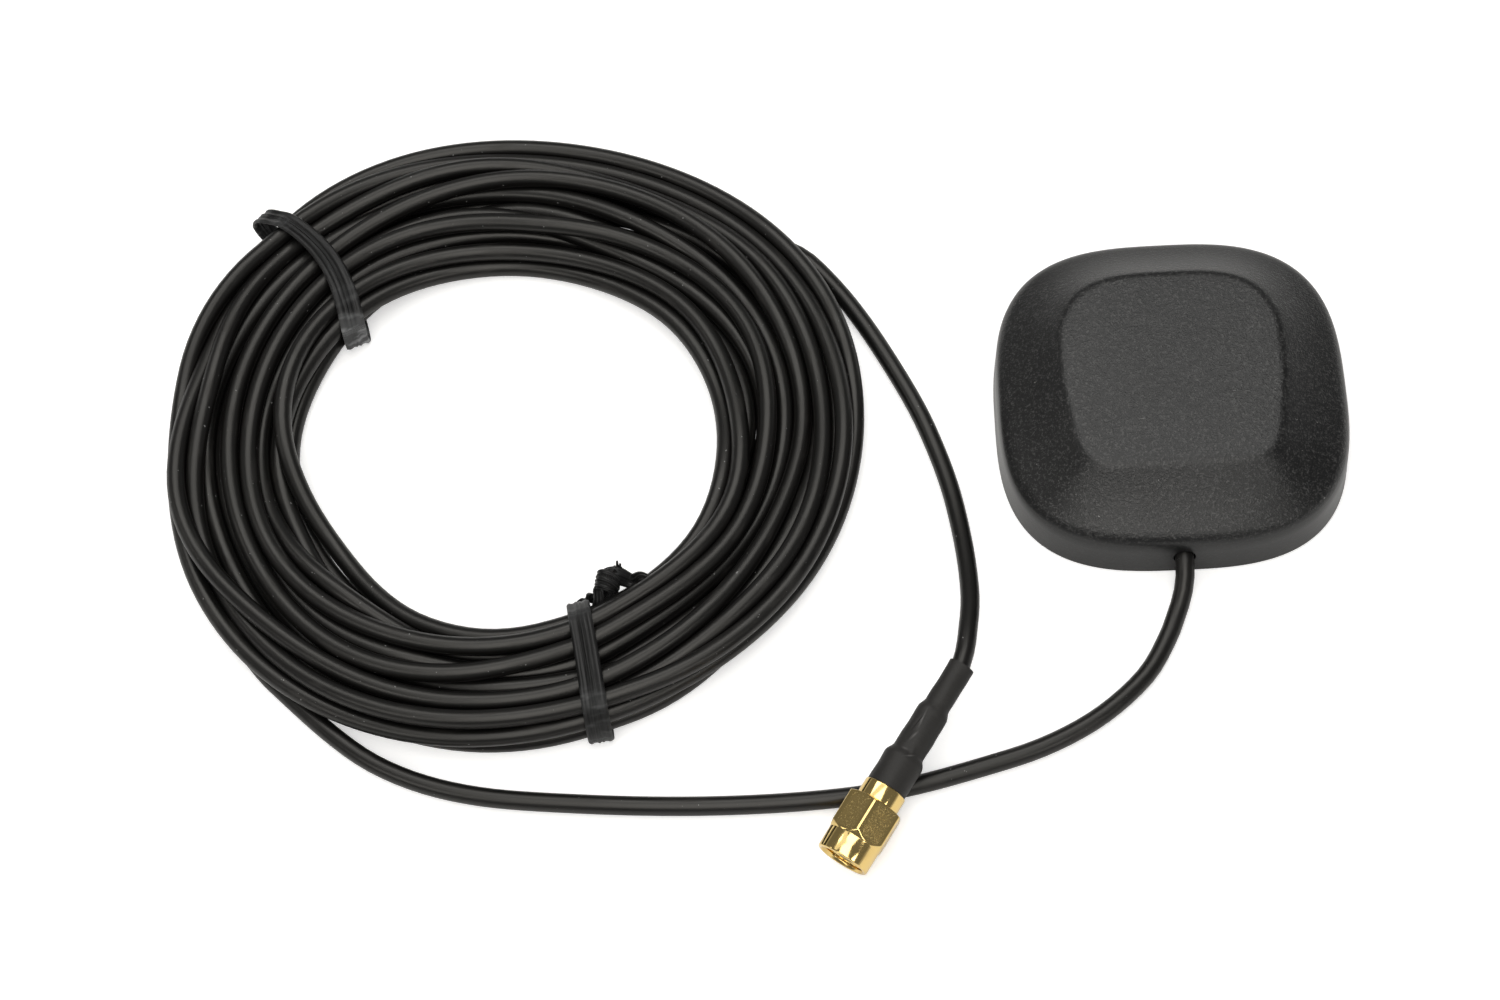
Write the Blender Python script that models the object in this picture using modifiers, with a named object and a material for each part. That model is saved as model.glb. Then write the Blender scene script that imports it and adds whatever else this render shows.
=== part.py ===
"""GPS antenna: a square puck on a long thin lead, coiled and tied, with a screw-on coaxial plug.

Frame: metres, +Z up, origin under the middle of the puck on the surface it stands on.
The lead leaves the puck's -Y side. The coil and the plug lie on the same surface at -X.
"""
import math

import bmesh
import bpy
from mathutils import Matrix, Vector

MM = 0.001

# Clearances
SEAT_GAP = 0.3 * MM
FIT_GAP = 0.1 * MM
OVERCUT = 1.0 * MM
WELD = 0.01 * MM

# Puck cover
PUCK_HALF = 26.3 * MM
PUCK_DRAFT = 0.4 * MM
PUCK_SQUARENESS = 2.96
PLATEAU_SQUARENESS = 4.8
PLATEAU_MARGIN = 3.4 * MM
RIM_HEIGHT = 8.1 * MM
RIM_ROUND = 1.0 * MM
PLATEAU_ROUND = 0.9 * MM
WALL = 2.0 * MM
ROOF_ROOM = 0.4 * MM
FLOOR_CLEARANCE = 0.3 * MM
PUCK_SEGMENTS = 64

# Rebate for the base, the gasket and the pad under it
REBATE_DEPTH = 0.9 * MM
PAD_THICKNESS = 0.6 * MM
PAD_INSET = 1.2 * MM
FLANGE_THICKNESS = 0.9 * MM
GASKET_THICKNESS = 0.4 * MM
GASKET_WIDTH = 1.5 * MM
BASE_RIM_WIDTH = 1.2 * MM
BASE_RIM_HEIGHT = 1.3 * MM

# Screws and bosses
BOSS_RADIUS = 2.3 * MM
BOSS_MARGIN = 0.5 * MM
SCREW_RADIUS = 0.85 * MM
SCREW_HEAD_RADIUS = 1.7 * MM
SCREW_HEAD_HEIGHT = 0.6 * MM
SCREW_LENGTH = 5.5 * MM
SCREW_PAD_WALL = 0.7 * MM

# Magnet, board and antenna element
BOARD_ROOM = 0.6 * MM
BOARD_THICKNESS = 0.8 * MM
POST_RADIUS = 1.3 * MM
POST_INSET = 2.2 * MM
MAGNET_INSET = 5.2 * MM
MAGNET_THICKNESS = 2.8 * MM
MAGNET_WALL = 1.2 * MM
MAGNET_WALL_HEIGHT = 1.9 * MM
CAN_ROOM = 2.0 * MM
CAN_HEIGHT = 1.5 * MM
CAN_WALL = 0.25 * MM
PATCH_MARGIN = 1.45 * MM
PATCH_THICKNESS = 4.0 * MM
TAPE_THICKNESS = 0.25 * MM
FEED_RADIUS = 0.5 * MM
FEED_HEAD_RADIUS = 1.1 * MM
FEED_HEAD_HEIGHT = 0.2 * MM
FEED_OFFSET = 2.4 * MM

# Parts under the board, each as length, width and height
AMPLIFIER_SIZE = (2.2 * MM, 2.0 * MM, 0.75 * MM)
FILTER_SIZE = (3.0 * MM, 2.4 * MM, 0.8 * MM)
CAPACITOR_SIZE = (1.0 * MM, 0.6 * MM, 0.5 * MM)
CHIP_ROOM = 0.4 * MM
CAPACITOR_PITCH = 2.4 * MM
CAPACITORS_IN_ROW = 3
CAPACITOR_EDGE = 0.9 * MM

# Lead
LEAD_RADIUS = 1.4 * MM
LEAD_SEAL_WALL = 0.3 * MM
LEAD_SEAL_LENGTH = 3.0 * MM
EXIT_HOLE_ROOM = 0.2 * MM
LEAD_STEP = 5.0 * MM
JACKET_ROOM = 2.0 * MM
CORE_RADIUS = 0.25 * MM
CORE_BARE_LENGTH = 1.6 * MM

# Coil of the lead
COIL_X = -100.6 * MM
COIL_Y = 1.0 * MM
COIL_MIDDLE = 42.3 * MM
COIL_WIDTH = 22.2 * MM
COIL_HEIGHT = 7.2 * MM
COIL_EDGE_ROUND = 2.6 * MM
COIL_SEGMENTS = 60

# Twist ties: place round the coil and slant from the radius, in degrees
TIE_WIDTH = 3.7 * MM
TIE_THICKNESS = 0.6 * MM
FRONT_TIE_ANGLE = -72.3
FRONT_TIE_SLANT = -8.6
REAR_TIE_ANGLE = 138.5
REAR_TIE_SLANT = -12.2
KNOT_LENGTH = 7.0 * MM
KNOT_RADIUS = 1.7 * MM
KNOT_THINNESS = 0.55
KNOT_END_FULLNESS = 0.75
KNOT_TURNS = 1.25
KNOT_RISE = 0.5 * MM
TAIL_LENGTH = 6.0 * MM

# Plug: lengths along its axis from the open end of the nut, and radii
PLUG_X = -51.68 * MM
PLUG_Y = -71.22 * MM
PLUG_HEADING = 56.1
PLUG_CROSSING = 13.7 * MM
NUT_FRONT_LENGTH = 3.3 * MM
NUT_FRONT_RADIUS = 3.95 * MM
NUT_HEX_LENGTH = 6.0 * MM
NUT_ACROSS_FLATS = 8.0 * MM
NUT_TURN = 38.0
NUT_BORE_RADIUS = 3.05 * MM
NUT_BORE_DEPTH = 5.9 * MM
NUT_CHAMFER = 0.25 * MM
HEX_FRONT_CHAMFER = 0.45 * MM
HEX_REAR_CHAMFER = 0.35 * MM
NECK_RADIUS = 2.65 * MM
CONTACT_RADIUS = 2.3 * MM
CONTACT_RECESS = 3.0 * MM
CONTACT_LENGTH = 2.0 * MM
GROOVE_START = 6.6 * MM
GROOVE_LENGTH = 0.7 * MM
GROOVE_FLOOR_RADIUS = 2.3 * MM
SNAP_RING_RADIUS = 3.0 * MM
SNAP_RING_OPENING = 1.2 * MM
SEALING_RING_LENGTH = 0.7 * MM
COLLAR_RADIUS = 3.2 * MM
COLLAR_LENGTH = 2.5 * MM
SHOULDER_RADIUS = 2.5 * MM
SHOULDER_LENGTH = 4.7 * MM
STEM_RADIUS = 0.9 * MM
STEM_BORE_RADIUS = 0.5 * MM
STEM_LENGTH = 7.0 * MM
INSULATOR_RADIUS = 1.95 * MM
INSULATOR_LENGTH = 8.6 * MM
PIN_RADIUS = 0.45 * MM
PIN_REACH = 2.1 * MM
PIN_TIP_LENGTH = 0.5 * MM
PIN_TIP_RADIUS = 0.15 * MM
FERRULE_WALL = 0.35 * MM
FERRULE_LENGTH = 7.6 * MM
SLEEVE_WALL = 0.4 * MM
SLEEVE_STEP_LENGTH = 0.8 * MM
SLEEVE_REAR_LENGTH = 8.4 * MM
TURNED_STEPS = 32
NUT_STEPS = 48

# Places that follow from the sizes
PLATE_BOTTOM = PAD_THICKNESS + FIT_GAP * 2
FLANGE_TOP = PLATE_BOTTOM + FLANGE_THICKNESS
GASKET_BOTTOM = FLANGE_TOP + FIT_GAP
GASKET_TOP = GASKET_BOTTOM + GASKET_THICKNESS
LEDGE = GASKET_TOP + FIT_GAP
INNER_HALF = PUCK_HALF - WALL - PUCK_DRAFT / 2
REBATE_HALF = INNER_HALF + REBATE_DEPTH
FLANGE_HALF = REBATE_HALF - SEAT_GAP
BASE_RIM_HALF = FLANGE_HALF - FIT_GAP * 2 - GASKET_WIDTH
BASE_RIM_TOP = FLANGE_TOP + BASE_RIM_HEIGHT
MAGNET_BOTTOM = FLANGE_TOP + SEAT_GAP
MAGNET_TOP = MAGNET_BOTTOM + MAGNET_THICKNESS
CAN_BOTTOM = MAGNET_TOP + SEAT_GAP
CAN_TOP = CAN_BOTTOM + CAN_HEIGHT
BOARD_BOTTOM = CAN_TOP + FIT_GAP
BOARD_TOP = BOARD_BOTTOM + BOARD_THICKNESS
TAPE_BOTTOM = BOARD_TOP + FIT_GAP
PATCH_BOTTOM = TAPE_BOTTOM + TAPE_THICKNESS + FIT_GAP
PATCH_TOP = PATCH_BOTTOM + PATCH_THICKNESS
ROOF_UNDERSIDE = PATCH_TOP + FIT_GAP + FEED_HEAD_HEIGHT + ROOF_ROOM
PUCK_TOP = ROOF_UNDERSIDE + WALL
HEAD_ROOM = SCREW_HEAD_RADIUS + FIT_GAP * 2
SCREW_SEAT_RADIUS = HEAD_ROOM + SCREW_PAD_WALL
BASE_RIM_CORNER = BASE_RIM_HALF * 2 ** (-1 / PUCK_SQUARENESS)
BOSS_XY = BASE_RIM_CORNER - (SCREW_SEAT_RADIUS + BOSS_MARGIN) / math.sqrt(2)
BOARD_HALF = BOSS_XY - (BOSS_RADIUS + BOARD_ROOM) / math.sqrt(2)
PATCH_HALF = BOARD_HALF - PATCH_MARGIN
PLATEAU_HALF = PATCH_HALF + PLATEAU_MARGIN
POST_XY = BOARD_HALF - POST_INSET
CAN_HALF = POST_XY - POST_RADIUS - CAN_ROOM
MAGNET_RADIUS = BOARD_HALF - MAGNET_INSET
SEAL_BORE = LEAD_RADIUS + FIT_GAP
SEAL_RADIUS = SEAL_BORE + LEAD_SEAL_WALL
EXIT_RADIUS = LEAD_RADIUS + EXIT_HOLE_ROOM
EXIT_HEIGHT = GASKET_TOP + FIT_GAP + SEAL_RADIUS
COIL_BOTTOM = TIE_THICKNESS + SEAT_GAP
COIL_TOP = COIL_BOTTOM + COIL_HEIGHT
COIL_INNER_RADIUS = COIL_MIDDLE - COIL_WIDTH / 2
COIL_OUTER_RADIUS = COIL_MIDDLE + COIL_WIDTH / 2
HEX_CORNER = NUT_ACROSS_FLATS / math.sqrt(3)
NUT_LENGTH = NUT_FRONT_LENGTH + NUT_HEX_LENGTH
COLLAR_START = NUT_LENGTH + FIT_GAP
COLLAR_END = COLLAR_START + COLLAR_LENGTH
SHOULDER_END = COLLAR_END + SHOULDER_LENGTH
STEM_END = SHOULDER_END + STEM_LENGTH
INSULATOR_BORE = PIN_RADIUS + FIT_GAP
BODY_BORE = INSULATOR_RADIUS + FIT_GAP
FERRULE_START = SHOULDER_END + SEAT_GAP
FERRULE_END = FERRULE_START + FERRULE_LENGTH
FERRULE_BORE = LEAD_RADIUS + FIT_GAP
FERRULE_RADIUS = FERRULE_BORE + FERRULE_WALL
SLEEVE_START = COLLAR_END + FIT_GAP
SLEEVE_FAT_BORE = SHOULDER_RADIUS + FIT_GAP
SLEEVE_FAT_RADIUS = SLEEVE_FAT_BORE + SLEEVE_WALL
SLEEVE_MID_BORE = FERRULE_RADIUS + FIT_GAP
SLEEVE_MID_RADIUS = SLEEVE_MID_BORE + SLEEVE_WALL
SLEEVE_THIN_BORE = LEAD_RADIUS + FIT_GAP
SLEEVE_THIN_RADIUS = SLEEVE_THIN_BORE + SLEEVE_WALL
SLEEVE_END = FERRULE_END + SLEEVE_REAR_LENGTH

# The nut's corners clear the table and the sleeve lies over the lead
PLUG_RISE = 2 * LEAD_RADIUS + FIT_GAP * 2 + SLEEVE_FAT_RADIUS - HEX_CORNER
PLUG_TILT = math.asin(PLUG_RISE / (PLUG_CROSSING - NUT_FRONT_LENGTH))
PLUG_Z = HEX_CORNER + FIT_GAP / 2 - NUT_FRONT_LENGTH * math.sin(PLUG_TILT)


def clear_scene():
    for thing in list(bpy.data.objects):
        bpy.data.objects.remove(thing, do_unlink=True)


def make_collection(name):
    group = bpy.data.collections.new(name)
    bpy.context.scene.collection.children.link(group)
    return group


def make_material(name, colour, roughness, metallic=0.0):
    material = bpy.data.materials.new(name)
    material.use_nodes = True
    shader = material.node_tree.nodes["Principled BSDF"]
    shader.inputs["Base Color"].default_value = (*colour, 1.0)
    shader.inputs["Roughness"].default_value = roughness
    shader.inputs["Metallic"].default_value = metallic
    return material


def add_object(name, data, group, material=None, parent=None):
    thing = bpy.data.objects.new(name, data)
    group.objects.link(thing)
    if material:
        data.materials.append(material)
    if parent:
        thing.parent = parent
    return thing


def finish_mesh(bm, name):
    bmesh.ops.recalc_face_normals(bm, faces=bm.faces)
    mesh = bpy.data.meshes.new(name)
    bm.to_mesh(mesh)
    bm.free()
    mesh.shade_smooth()
    mesh.set_sharp_from_angle(angle=math.radians(35))
    return mesh


def squircle(half, squareness, z, segments=PUCK_SEGMENTS):
    """Points of a rounded square, evenly spread round the middle."""
    points = []
    for step in range(segments):
        angle = 2 * math.pi * step / segments
        c = math.cos(angle)
        s = math.sin(angle)
        radius = half / (abs(c) ** squareness + abs(s) ** squareness) ** (1 / squareness)
        points.append(Vector((radius * c, radius * s, z)))
    return points


def loft(name, rings, ring_shaped=False):
    """A closed body through rings of equal point counts, capped unless it closes on itself."""
    bm = bmesh.new()
    rows = []
    for ring in rings:
        rows.append([bm.verts.new(point) for point in ring])
    pairs = list(zip(rows, rows[1:]))
    if ring_shaped:
        pairs.append((rows[-1], rows[0]))
    else:
        bm.faces.new(rows[0])
        bm.faces.new(rows[-1])
    for lower, upper in pairs:
        count = len(lower)
        for step in range(count):
            following = (step + 1) % count
            bm.faces.new((lower[step], lower[following], upper[following], upper[step]))
    return finish_mesh(bm, name)


def box_mesh(name, sizes, centre):
    bm = bmesh.new()
    matrix = Matrix.Translation(centre) @ Matrix.Diagonal((*sizes, 1.0))
    bmesh.ops.create_cube(bm, size=1.0, matrix=matrix)
    return finish_mesh(bm, name)


def rod_mesh(name, radius, low, high, places=((0.0, 0.0),), sides=24):
    """One or more upright rods between two heights."""
    bm = bmesh.new()
    for x, y in places:
        matrix = Matrix.Translation((x, y, (low + high) / 2))
        bmesh.ops.create_cone(
            bm, cap_ends=True, segments=sides, radius1=radius, radius2=radius,
            depth=high - low, matrix=matrix,
        )
    return finish_mesh(bm, name)


def turned(name, profile, group, material=None, parent=None, steps=TURNED_STEPS):
    """A profile of radius and height, down its outer side, turned about Z."""
    mesh = bpy.data.meshes.new(name)
    points = [(radius, 0.0, height) for radius, height in profile]
    edges = [(step, step + 1) for step in range(len(points) - 1)]
    if profile[0][0] > 0 and profile[-1][0] > 0:
        edges.append((len(points) - 1, 0))
    mesh.from_pydata(points, edges, [])
    thing = add_object(name, mesh, group, material, parent)
    screw = thing.modifiers.new("turn", 'SCREW')
    screw.axis = 'Z'
    screw.angle = 2 * math.pi
    screw.steps = steps
    screw.render_steps = steps
    screw.use_merge_vertices = True
    screw.merge_threshold = WELD
    screw.use_smooth_shade = False
    return thing


def cutter_object(mesh, cutters, parent=None):
    thing = add_object(mesh.name, mesh, cutters, parent=parent)
    thing.hide_render = True
    thing.display_type = 'WIRE'
    return thing


def combine(target, tool, operation):
    boolean = target.modifiers.new(tool.name, 'BOOLEAN')
    boolean.operation = operation
    boolean.solver = 'EXACT'
    boolean.object = tool


def smooth_route(points, step):
    """A smooth curve through the route's points, read off at even steps."""
    padded = [2 * points[0] - points[1]] + points + [2 * points[-1] - points[-2]]
    fine = []
    for index in range(1, len(padded) - 2):
        a, b, c, d = padded[index - 1:index + 3]
        for part in range(24):
            t = part / 24
            fine.append(0.5 * (
                2 * b + (c - a) * t + (2 * a - 5 * b + 4 * c - d) * t * t
                + (3 * b - a - 3 * c + d) * t * t * t
            ))
    fine.append(points[-1])
    length = sum((q - p).length for p, q in zip(fine, fine[1:]))
    count = max(2, round(length / step))
    even = [fine[0]]
    walked = 0.0
    for p, q in zip(fine, fine[1:]):
        piece = (q - p).length
        while len(even) < count and walked + piece >= len(even) * length / count:
            share = (len(even) * length / count - walked) / piece
            even.append(p.lerp(q, share))
        walked += piece
    even.append(fine[-1])
    return even


def tube(name, points, radius, group, material):
    curve = bpy.data.curves.new(name, 'CURVE')
    curve.dimensions = '3D'
    curve.bevel_depth = radius
    curve.bevel_resolution = 2
    curve.use_fill_caps = True
    spline = curve.splines.new('POLY')
    spline.points.add(len(points) - 1)
    for place, point in zip(spline.points, points):
        place.co = (*point, 1.0)
    return add_object(name, curve, group, material)


def to_mesh_object(thing, group, material):
    """Replace a curve object by the same shape as a welded mesh."""
    bpy.context.view_layer.update()
    evaluated = thing.evaluated_get(bpy.context.evaluated_depsgraph_get())
    mesh = bpy.data.meshes.new_from_object(evaluated)
    bm = bmesh.new()
    bm.from_mesh(mesh)
    bmesh.ops.remove_doubles(bm, verts=bm.verts, dist=WELD)
    bmesh.ops.recalc_face_normals(bm, faces=bm.faces)
    bm.to_mesh(mesh)
    bm.free()
    mesh.materials.clear()
    name = thing.name
    place = thing.matrix_world.copy()
    bpy.data.objects.remove(thing, do_unlink=True)
    solid = add_object(name, mesh, group, material)
    solid.matrix_world = place
    return solid


def round_over(before, corner, after):
    """The middle point of a curve that rounds a corner off."""
    return before * 0.25 + corner * 0.5 + after * 0.25


def build_cover(parts, cutters, material):
    top_half = PUCK_HALF - PUCK_DRAFT
    rim = Vector((top_half, RIM_HEIGHT))
    edge = Vector((PLATEAU_HALF, PUCK_TOP))
    up_flank = (edge - rim).normalized()
    # The flank's inner face lies one wall inside the outer one
    inward = Vector((-up_flank.y, up_flank.x)) * WALL
    rim_low = rim - Vector((0, RIM_ROUND))
    rim_high = rim + up_flank * RIM_ROUND
    edge_low = edge - up_flank * PLATEAU_ROUND
    edge_top = edge - Vector((PLATEAU_ROUND, 0))
    rim_middle = round_over(rim_low, rim, rim_high)
    edge_middle = round_over(edge_low, edge, edge_top)
    inner_rim = rim_high + inward
    inner_edge = edge_low + inward
    rings = [
        squircle(edge_top.x, PLATEAU_SQUARENESS, ROOF_UNDERSIDE),
        squircle(inner_edge.x, PLATEAU_SQUARENESS, inner_edge.y),
        squircle(inner_rim.x, PUCK_SQUARENESS, inner_rim.y),
        squircle(INNER_HALF, PUCK_SQUARENESS, inner_rim.y - RIM_ROUND),
        squircle(INNER_HALF, PUCK_SQUARENESS, LEDGE),
        squircle(REBATE_HALF, PUCK_SQUARENESS, LEDGE),
        squircle(REBATE_HALF, PUCK_SQUARENESS, FLOOR_CLEARANCE),
        squircle(PUCK_HALF, PUCK_SQUARENESS, FLOOR_CLEARANCE),
        squircle(rim_low.x, PUCK_SQUARENESS, rim_low.y),
        squircle(rim_middle.x, PUCK_SQUARENESS, rim_middle.y),
        squircle(rim_high.x, PUCK_SQUARENESS, rim_high.y),
        squircle(edge_low.x, PLATEAU_SQUARENESS, edge_low.y),
        squircle(edge_middle.x, PLATEAU_SQUARENESS, edge_middle.y),
        squircle(edge_top.x, PLATEAU_SQUARENESS, PUCK_TOP),
    ]
    cover = add_object("radome_cover", loft("radome_cover", rings), parts, material)
    corners = [(x, y) for x in (-BOSS_XY, BOSS_XY) for y in (-BOSS_XY, BOSS_XY)]
    boss_bottom = BASE_RIM_TOP + FIT_GAP * 2
    boss_top = RIM_HEIGHT + WALL
    bosses = rod_mesh("cover_bosses", BOSS_RADIUS, boss_bottom, boss_top, corners)
    combine(cover, cutter_object(bosses, cutters), 'UNION')
    pilot_top = PLATE_BOTTOM + FIT_GAP + SCREW_LENGTH + SEAT_GAP
    pilots = rod_mesh("pilot_holes", SCREW_RADIUS + FIT_GAP, boss_bottom - OVERCUT, pilot_top, corners, 16)
    combine(cover, cutter_object(pilots, cutters), 'DIFFERENCE')
    hole_mesh = rod_mesh("exit_hole", EXIT_RADIUS, INNER_HALF - OVERCUT, PUCK_HALF + OVERCUT)
    hole = cutter_object(hole_mesh, cutters)
    hole.rotation_euler = (math.radians(90), 0, 0)
    hole.location = (0, 0, EXIT_HEIGHT)
    combine(cover, hole, 'DIFFERENCE')


def build_base(parts, cutters, materials):
    pad_half = FLANGE_HALF - PAD_INSET
    pad = loft("foot_pad", [
        squircle(pad_half, PUCK_SQUARENESS, 0.0),
        squircle(pad_half, PUCK_SQUARENESS, PAD_THICKNESS),
    ])
    add_object("foot_pad", pad, parts, materials["rubber"])

    inner_rim = BASE_RIM_HALF - BASE_RIM_WIDTH
    plate_mesh = loft("base_plate", [
        squircle(FLANGE_HALF, PUCK_SQUARENESS, PLATE_BOTTOM),
        squircle(FLANGE_HALF, PUCK_SQUARENESS, FLANGE_TOP),
        squircle(BASE_RIM_HALF, PUCK_SQUARENESS, FLANGE_TOP),
        squircle(BASE_RIM_HALF, PUCK_SQUARENESS, BASE_RIM_TOP),
        squircle(inner_rim, PUCK_SQUARENESS, BASE_RIM_TOP),
        squircle(inner_rim, PUCK_SQUARENESS, FLANGE_TOP),
    ])
    plate = add_object("base_plate", plate_mesh, parts, materials["base"])
    sink = FLANGE_THICKNESS / 2
    corners = [(x, y) for x in (-BOSS_XY, BOSS_XY) for y in (-BOSS_XY, BOSS_XY)]
    posts = [(x, y) for x in (-POST_XY, POST_XY) for y in (-POST_XY, POST_XY)]
    additions = [
        rod_mesh("screw_seats", SCREW_SEAT_RADIUS, FLANGE_TOP - sink, BASE_RIM_TOP, corners),
        rod_mesh("board_posts", POST_RADIUS, FLANGE_TOP - sink, BOARD_BOTTOM - SEAT_GAP, posts, 16),
    ]
    for mesh in additions:
        combine(plate, cutter_object(mesh, cutters), 'UNION')
    cup_radius = MAGNET_RADIUS + SEAT_GAP
    cup_top = FLANGE_TOP + MAGNET_WALL_HEIGHT
    cup = turned("magnet_cup", [
        (cup_radius + MAGNET_WALL, cup_top), (cup_radius + MAGNET_WALL, FLANGE_TOP - sink),
        (cup_radius, FLANGE_TOP - sink), (cup_radius, cup_top),
    ], cutters)
    cup.hide_render = True
    cup.display_type = 'WIRE'
    combine(plate, cup, 'UNION')
    head_top = PLATE_BOTTOM + FIT_GAP + SCREW_HEAD_HEIGHT + FIT_GAP
    cuts = [
        rod_mesh("head_sinks", HEAD_ROOM, PLATE_BOTTOM - OVERCUT, head_top, corners),
        rod_mesh("screw_holes", SCREW_RADIUS + SEAT_GAP, PLATE_BOTTOM, BASE_RIM_TOP + OVERCUT, corners, 16),
    ]
    for mesh in cuts:
        combine(plate, cutter_object(mesh, cutters), 'DIFFERENCE')
    notch_low = inner_rim - OVERCUT * 2
    notch = cutter_object(rod_mesh("seal_notch", SEAL_RADIUS + FIT_GAP, notch_low, PUCK_HALF), cutters)
    notch.rotation_euler = (math.radians(90), 0, 0)
    notch.location = (0, 0, EXIT_HEIGHT)
    combine(plate, notch, 'DIFFERENCE')

    gasket_outer = FLANGE_HALF - FIT_GAP
    gasket_inner = BASE_RIM_HALF + FIT_GAP
    gasket = loft("seal_gasket", [
        squircle(gasket_inner, PUCK_SQUARENESS, GASKET_TOP),
        squircle(gasket_inner, PUCK_SQUARENESS, GASKET_BOTTOM),
        squircle(gasket_outer, PUCK_SQUARENESS, GASKET_BOTTOM),
        squircle(gasket_outer, PUCK_SQUARENESS, GASKET_TOP),
    ], ring_shaped=True)
    add_object("seal_gasket", gasket, parts, materials["rubber"])

    for index, (x, y) in enumerate(corners):
        screw = turned("cover_screw_%d" % (index + 1), [
            (0.0, SCREW_LENGTH), (SCREW_RADIUS / 2, SCREW_LENGTH),
            (SCREW_RADIUS, SCREW_LENGTH - SCREW_RADIUS), (SCREW_RADIUS, SCREW_HEAD_HEIGHT),
            (SCREW_HEAD_RADIUS, SCREW_HEAD_HEIGHT), (SCREW_HEAD_RADIUS, 0.0), (0.0, 0.0),
        ], parts, materials["steel"], steps=16)
        screw.location = (x, y, PLATE_BOTTOM + FIT_GAP)


def build_electronics(parts, cutters, materials):
    magnet = rod_mesh("magnet", MAGNET_RADIUS, MAGNET_BOTTOM, MAGNET_TOP, sides=40)
    add_object("magnet", magnet, parts, materials["magnet"])

    feed_hole = rod_mesh(
        "feed_hole", FEED_RADIUS + SEAT_GAP / 2, BOARD_BOTTOM - OVERCUT, PATCH_TOP + OVERCUT,
        [(0.0, FEED_OFFSET)], 16,
    )
    feed_hole = cutter_object(feed_hole, cutters)
    layers = [
        ("circuit_board", BOARD_HALF, BOARD_BOTTOM, BOARD_TOP, "board"),
        ("patch_tape", PATCH_HALF, TAPE_BOTTOM, TAPE_BOTTOM + TAPE_THICKNESS, "tape"),
        ("ceramic_patch", PATCH_HALF, PATCH_BOTTOM, PATCH_TOP, "ceramic"),
    ]
    for name, half, low, high, material in layers:
        mesh = box_mesh(name, (2 * half, 2 * half, high - low), (0, 0, (low + high) / 2))
        combine(add_object(name, mesh, parts, materials[material]), feed_hole, 'DIFFERENCE')

    head_low = PATCH_TOP + FIT_GAP
    pin = turned("feed_pin", [
        (0.0, head_low + FEED_HEAD_HEIGHT), (FEED_HEAD_RADIUS, head_low + FEED_HEAD_HEIGHT),
        (FEED_HEAD_RADIUS, head_low), (FEED_RADIUS, head_low),
        (FEED_RADIUS, BOARD_BOTTOM - SEAT_GAP), (0.0, BOARD_BOTTOM - SEAT_GAP),
    ], parts, materials["gold"], steps=16)
    pin.location = (0, FEED_OFFSET, 0)

    can_middle = (CAN_BOTTOM + CAN_TOP) / 2
    can_side = 2 * CAN_HALF
    can_mesh = box_mesh("shield_can", (can_side, can_side, CAN_HEIGHT), (0, 0, can_middle))
    can = add_object("shield_can", can_mesh, parts, materials["tin"])
    room = (can_side - 2 * CAN_WALL, can_side - 2 * CAN_WALL, CAN_HEIGHT)
    hollow = box_mesh("can_room", room, (0, 0, can_middle + CAN_WALL))
    combine(can, cutter_object(hollow, cutters), 'DIFFERENCE')

    chip_top = BOARD_BOTTOM - FIT_GAP
    for name, size, side in (("amplifier_chip", AMPLIFIER_SIZE, 1), ("band_filter", FILTER_SIZE, -1)):
        length, width, height = size
        x = side * (length + CHIP_ROOM) / 2
        y = -(FEED_RADIUS + CHIP_ROOM + width / 2)
        mesh = box_mesh(name, size, (x, y, chip_top - height / 2))
        add_object(name, mesh, parts, materials["chip"])
    for index in range(2 * CAPACITORS_IN_ROW):
        name = "capacitor_%d" % (index + 1)
        row, column = divmod(index, CAPACITORS_IN_ROW)
        x = (column - (CAPACITORS_IN_ROW - 1) / 2) * CAPACITOR_PITCH
        y = (2 * row - 1) * (BOARD_HALF - CAPACITOR_EDGE)
        mesh = box_mesh(name, CAPACITOR_SIZE, (x, y, chip_top - CAPACITOR_SIZE[2] / 2))
        add_object(name, mesh, parts, materials["ceramic"])


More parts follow.
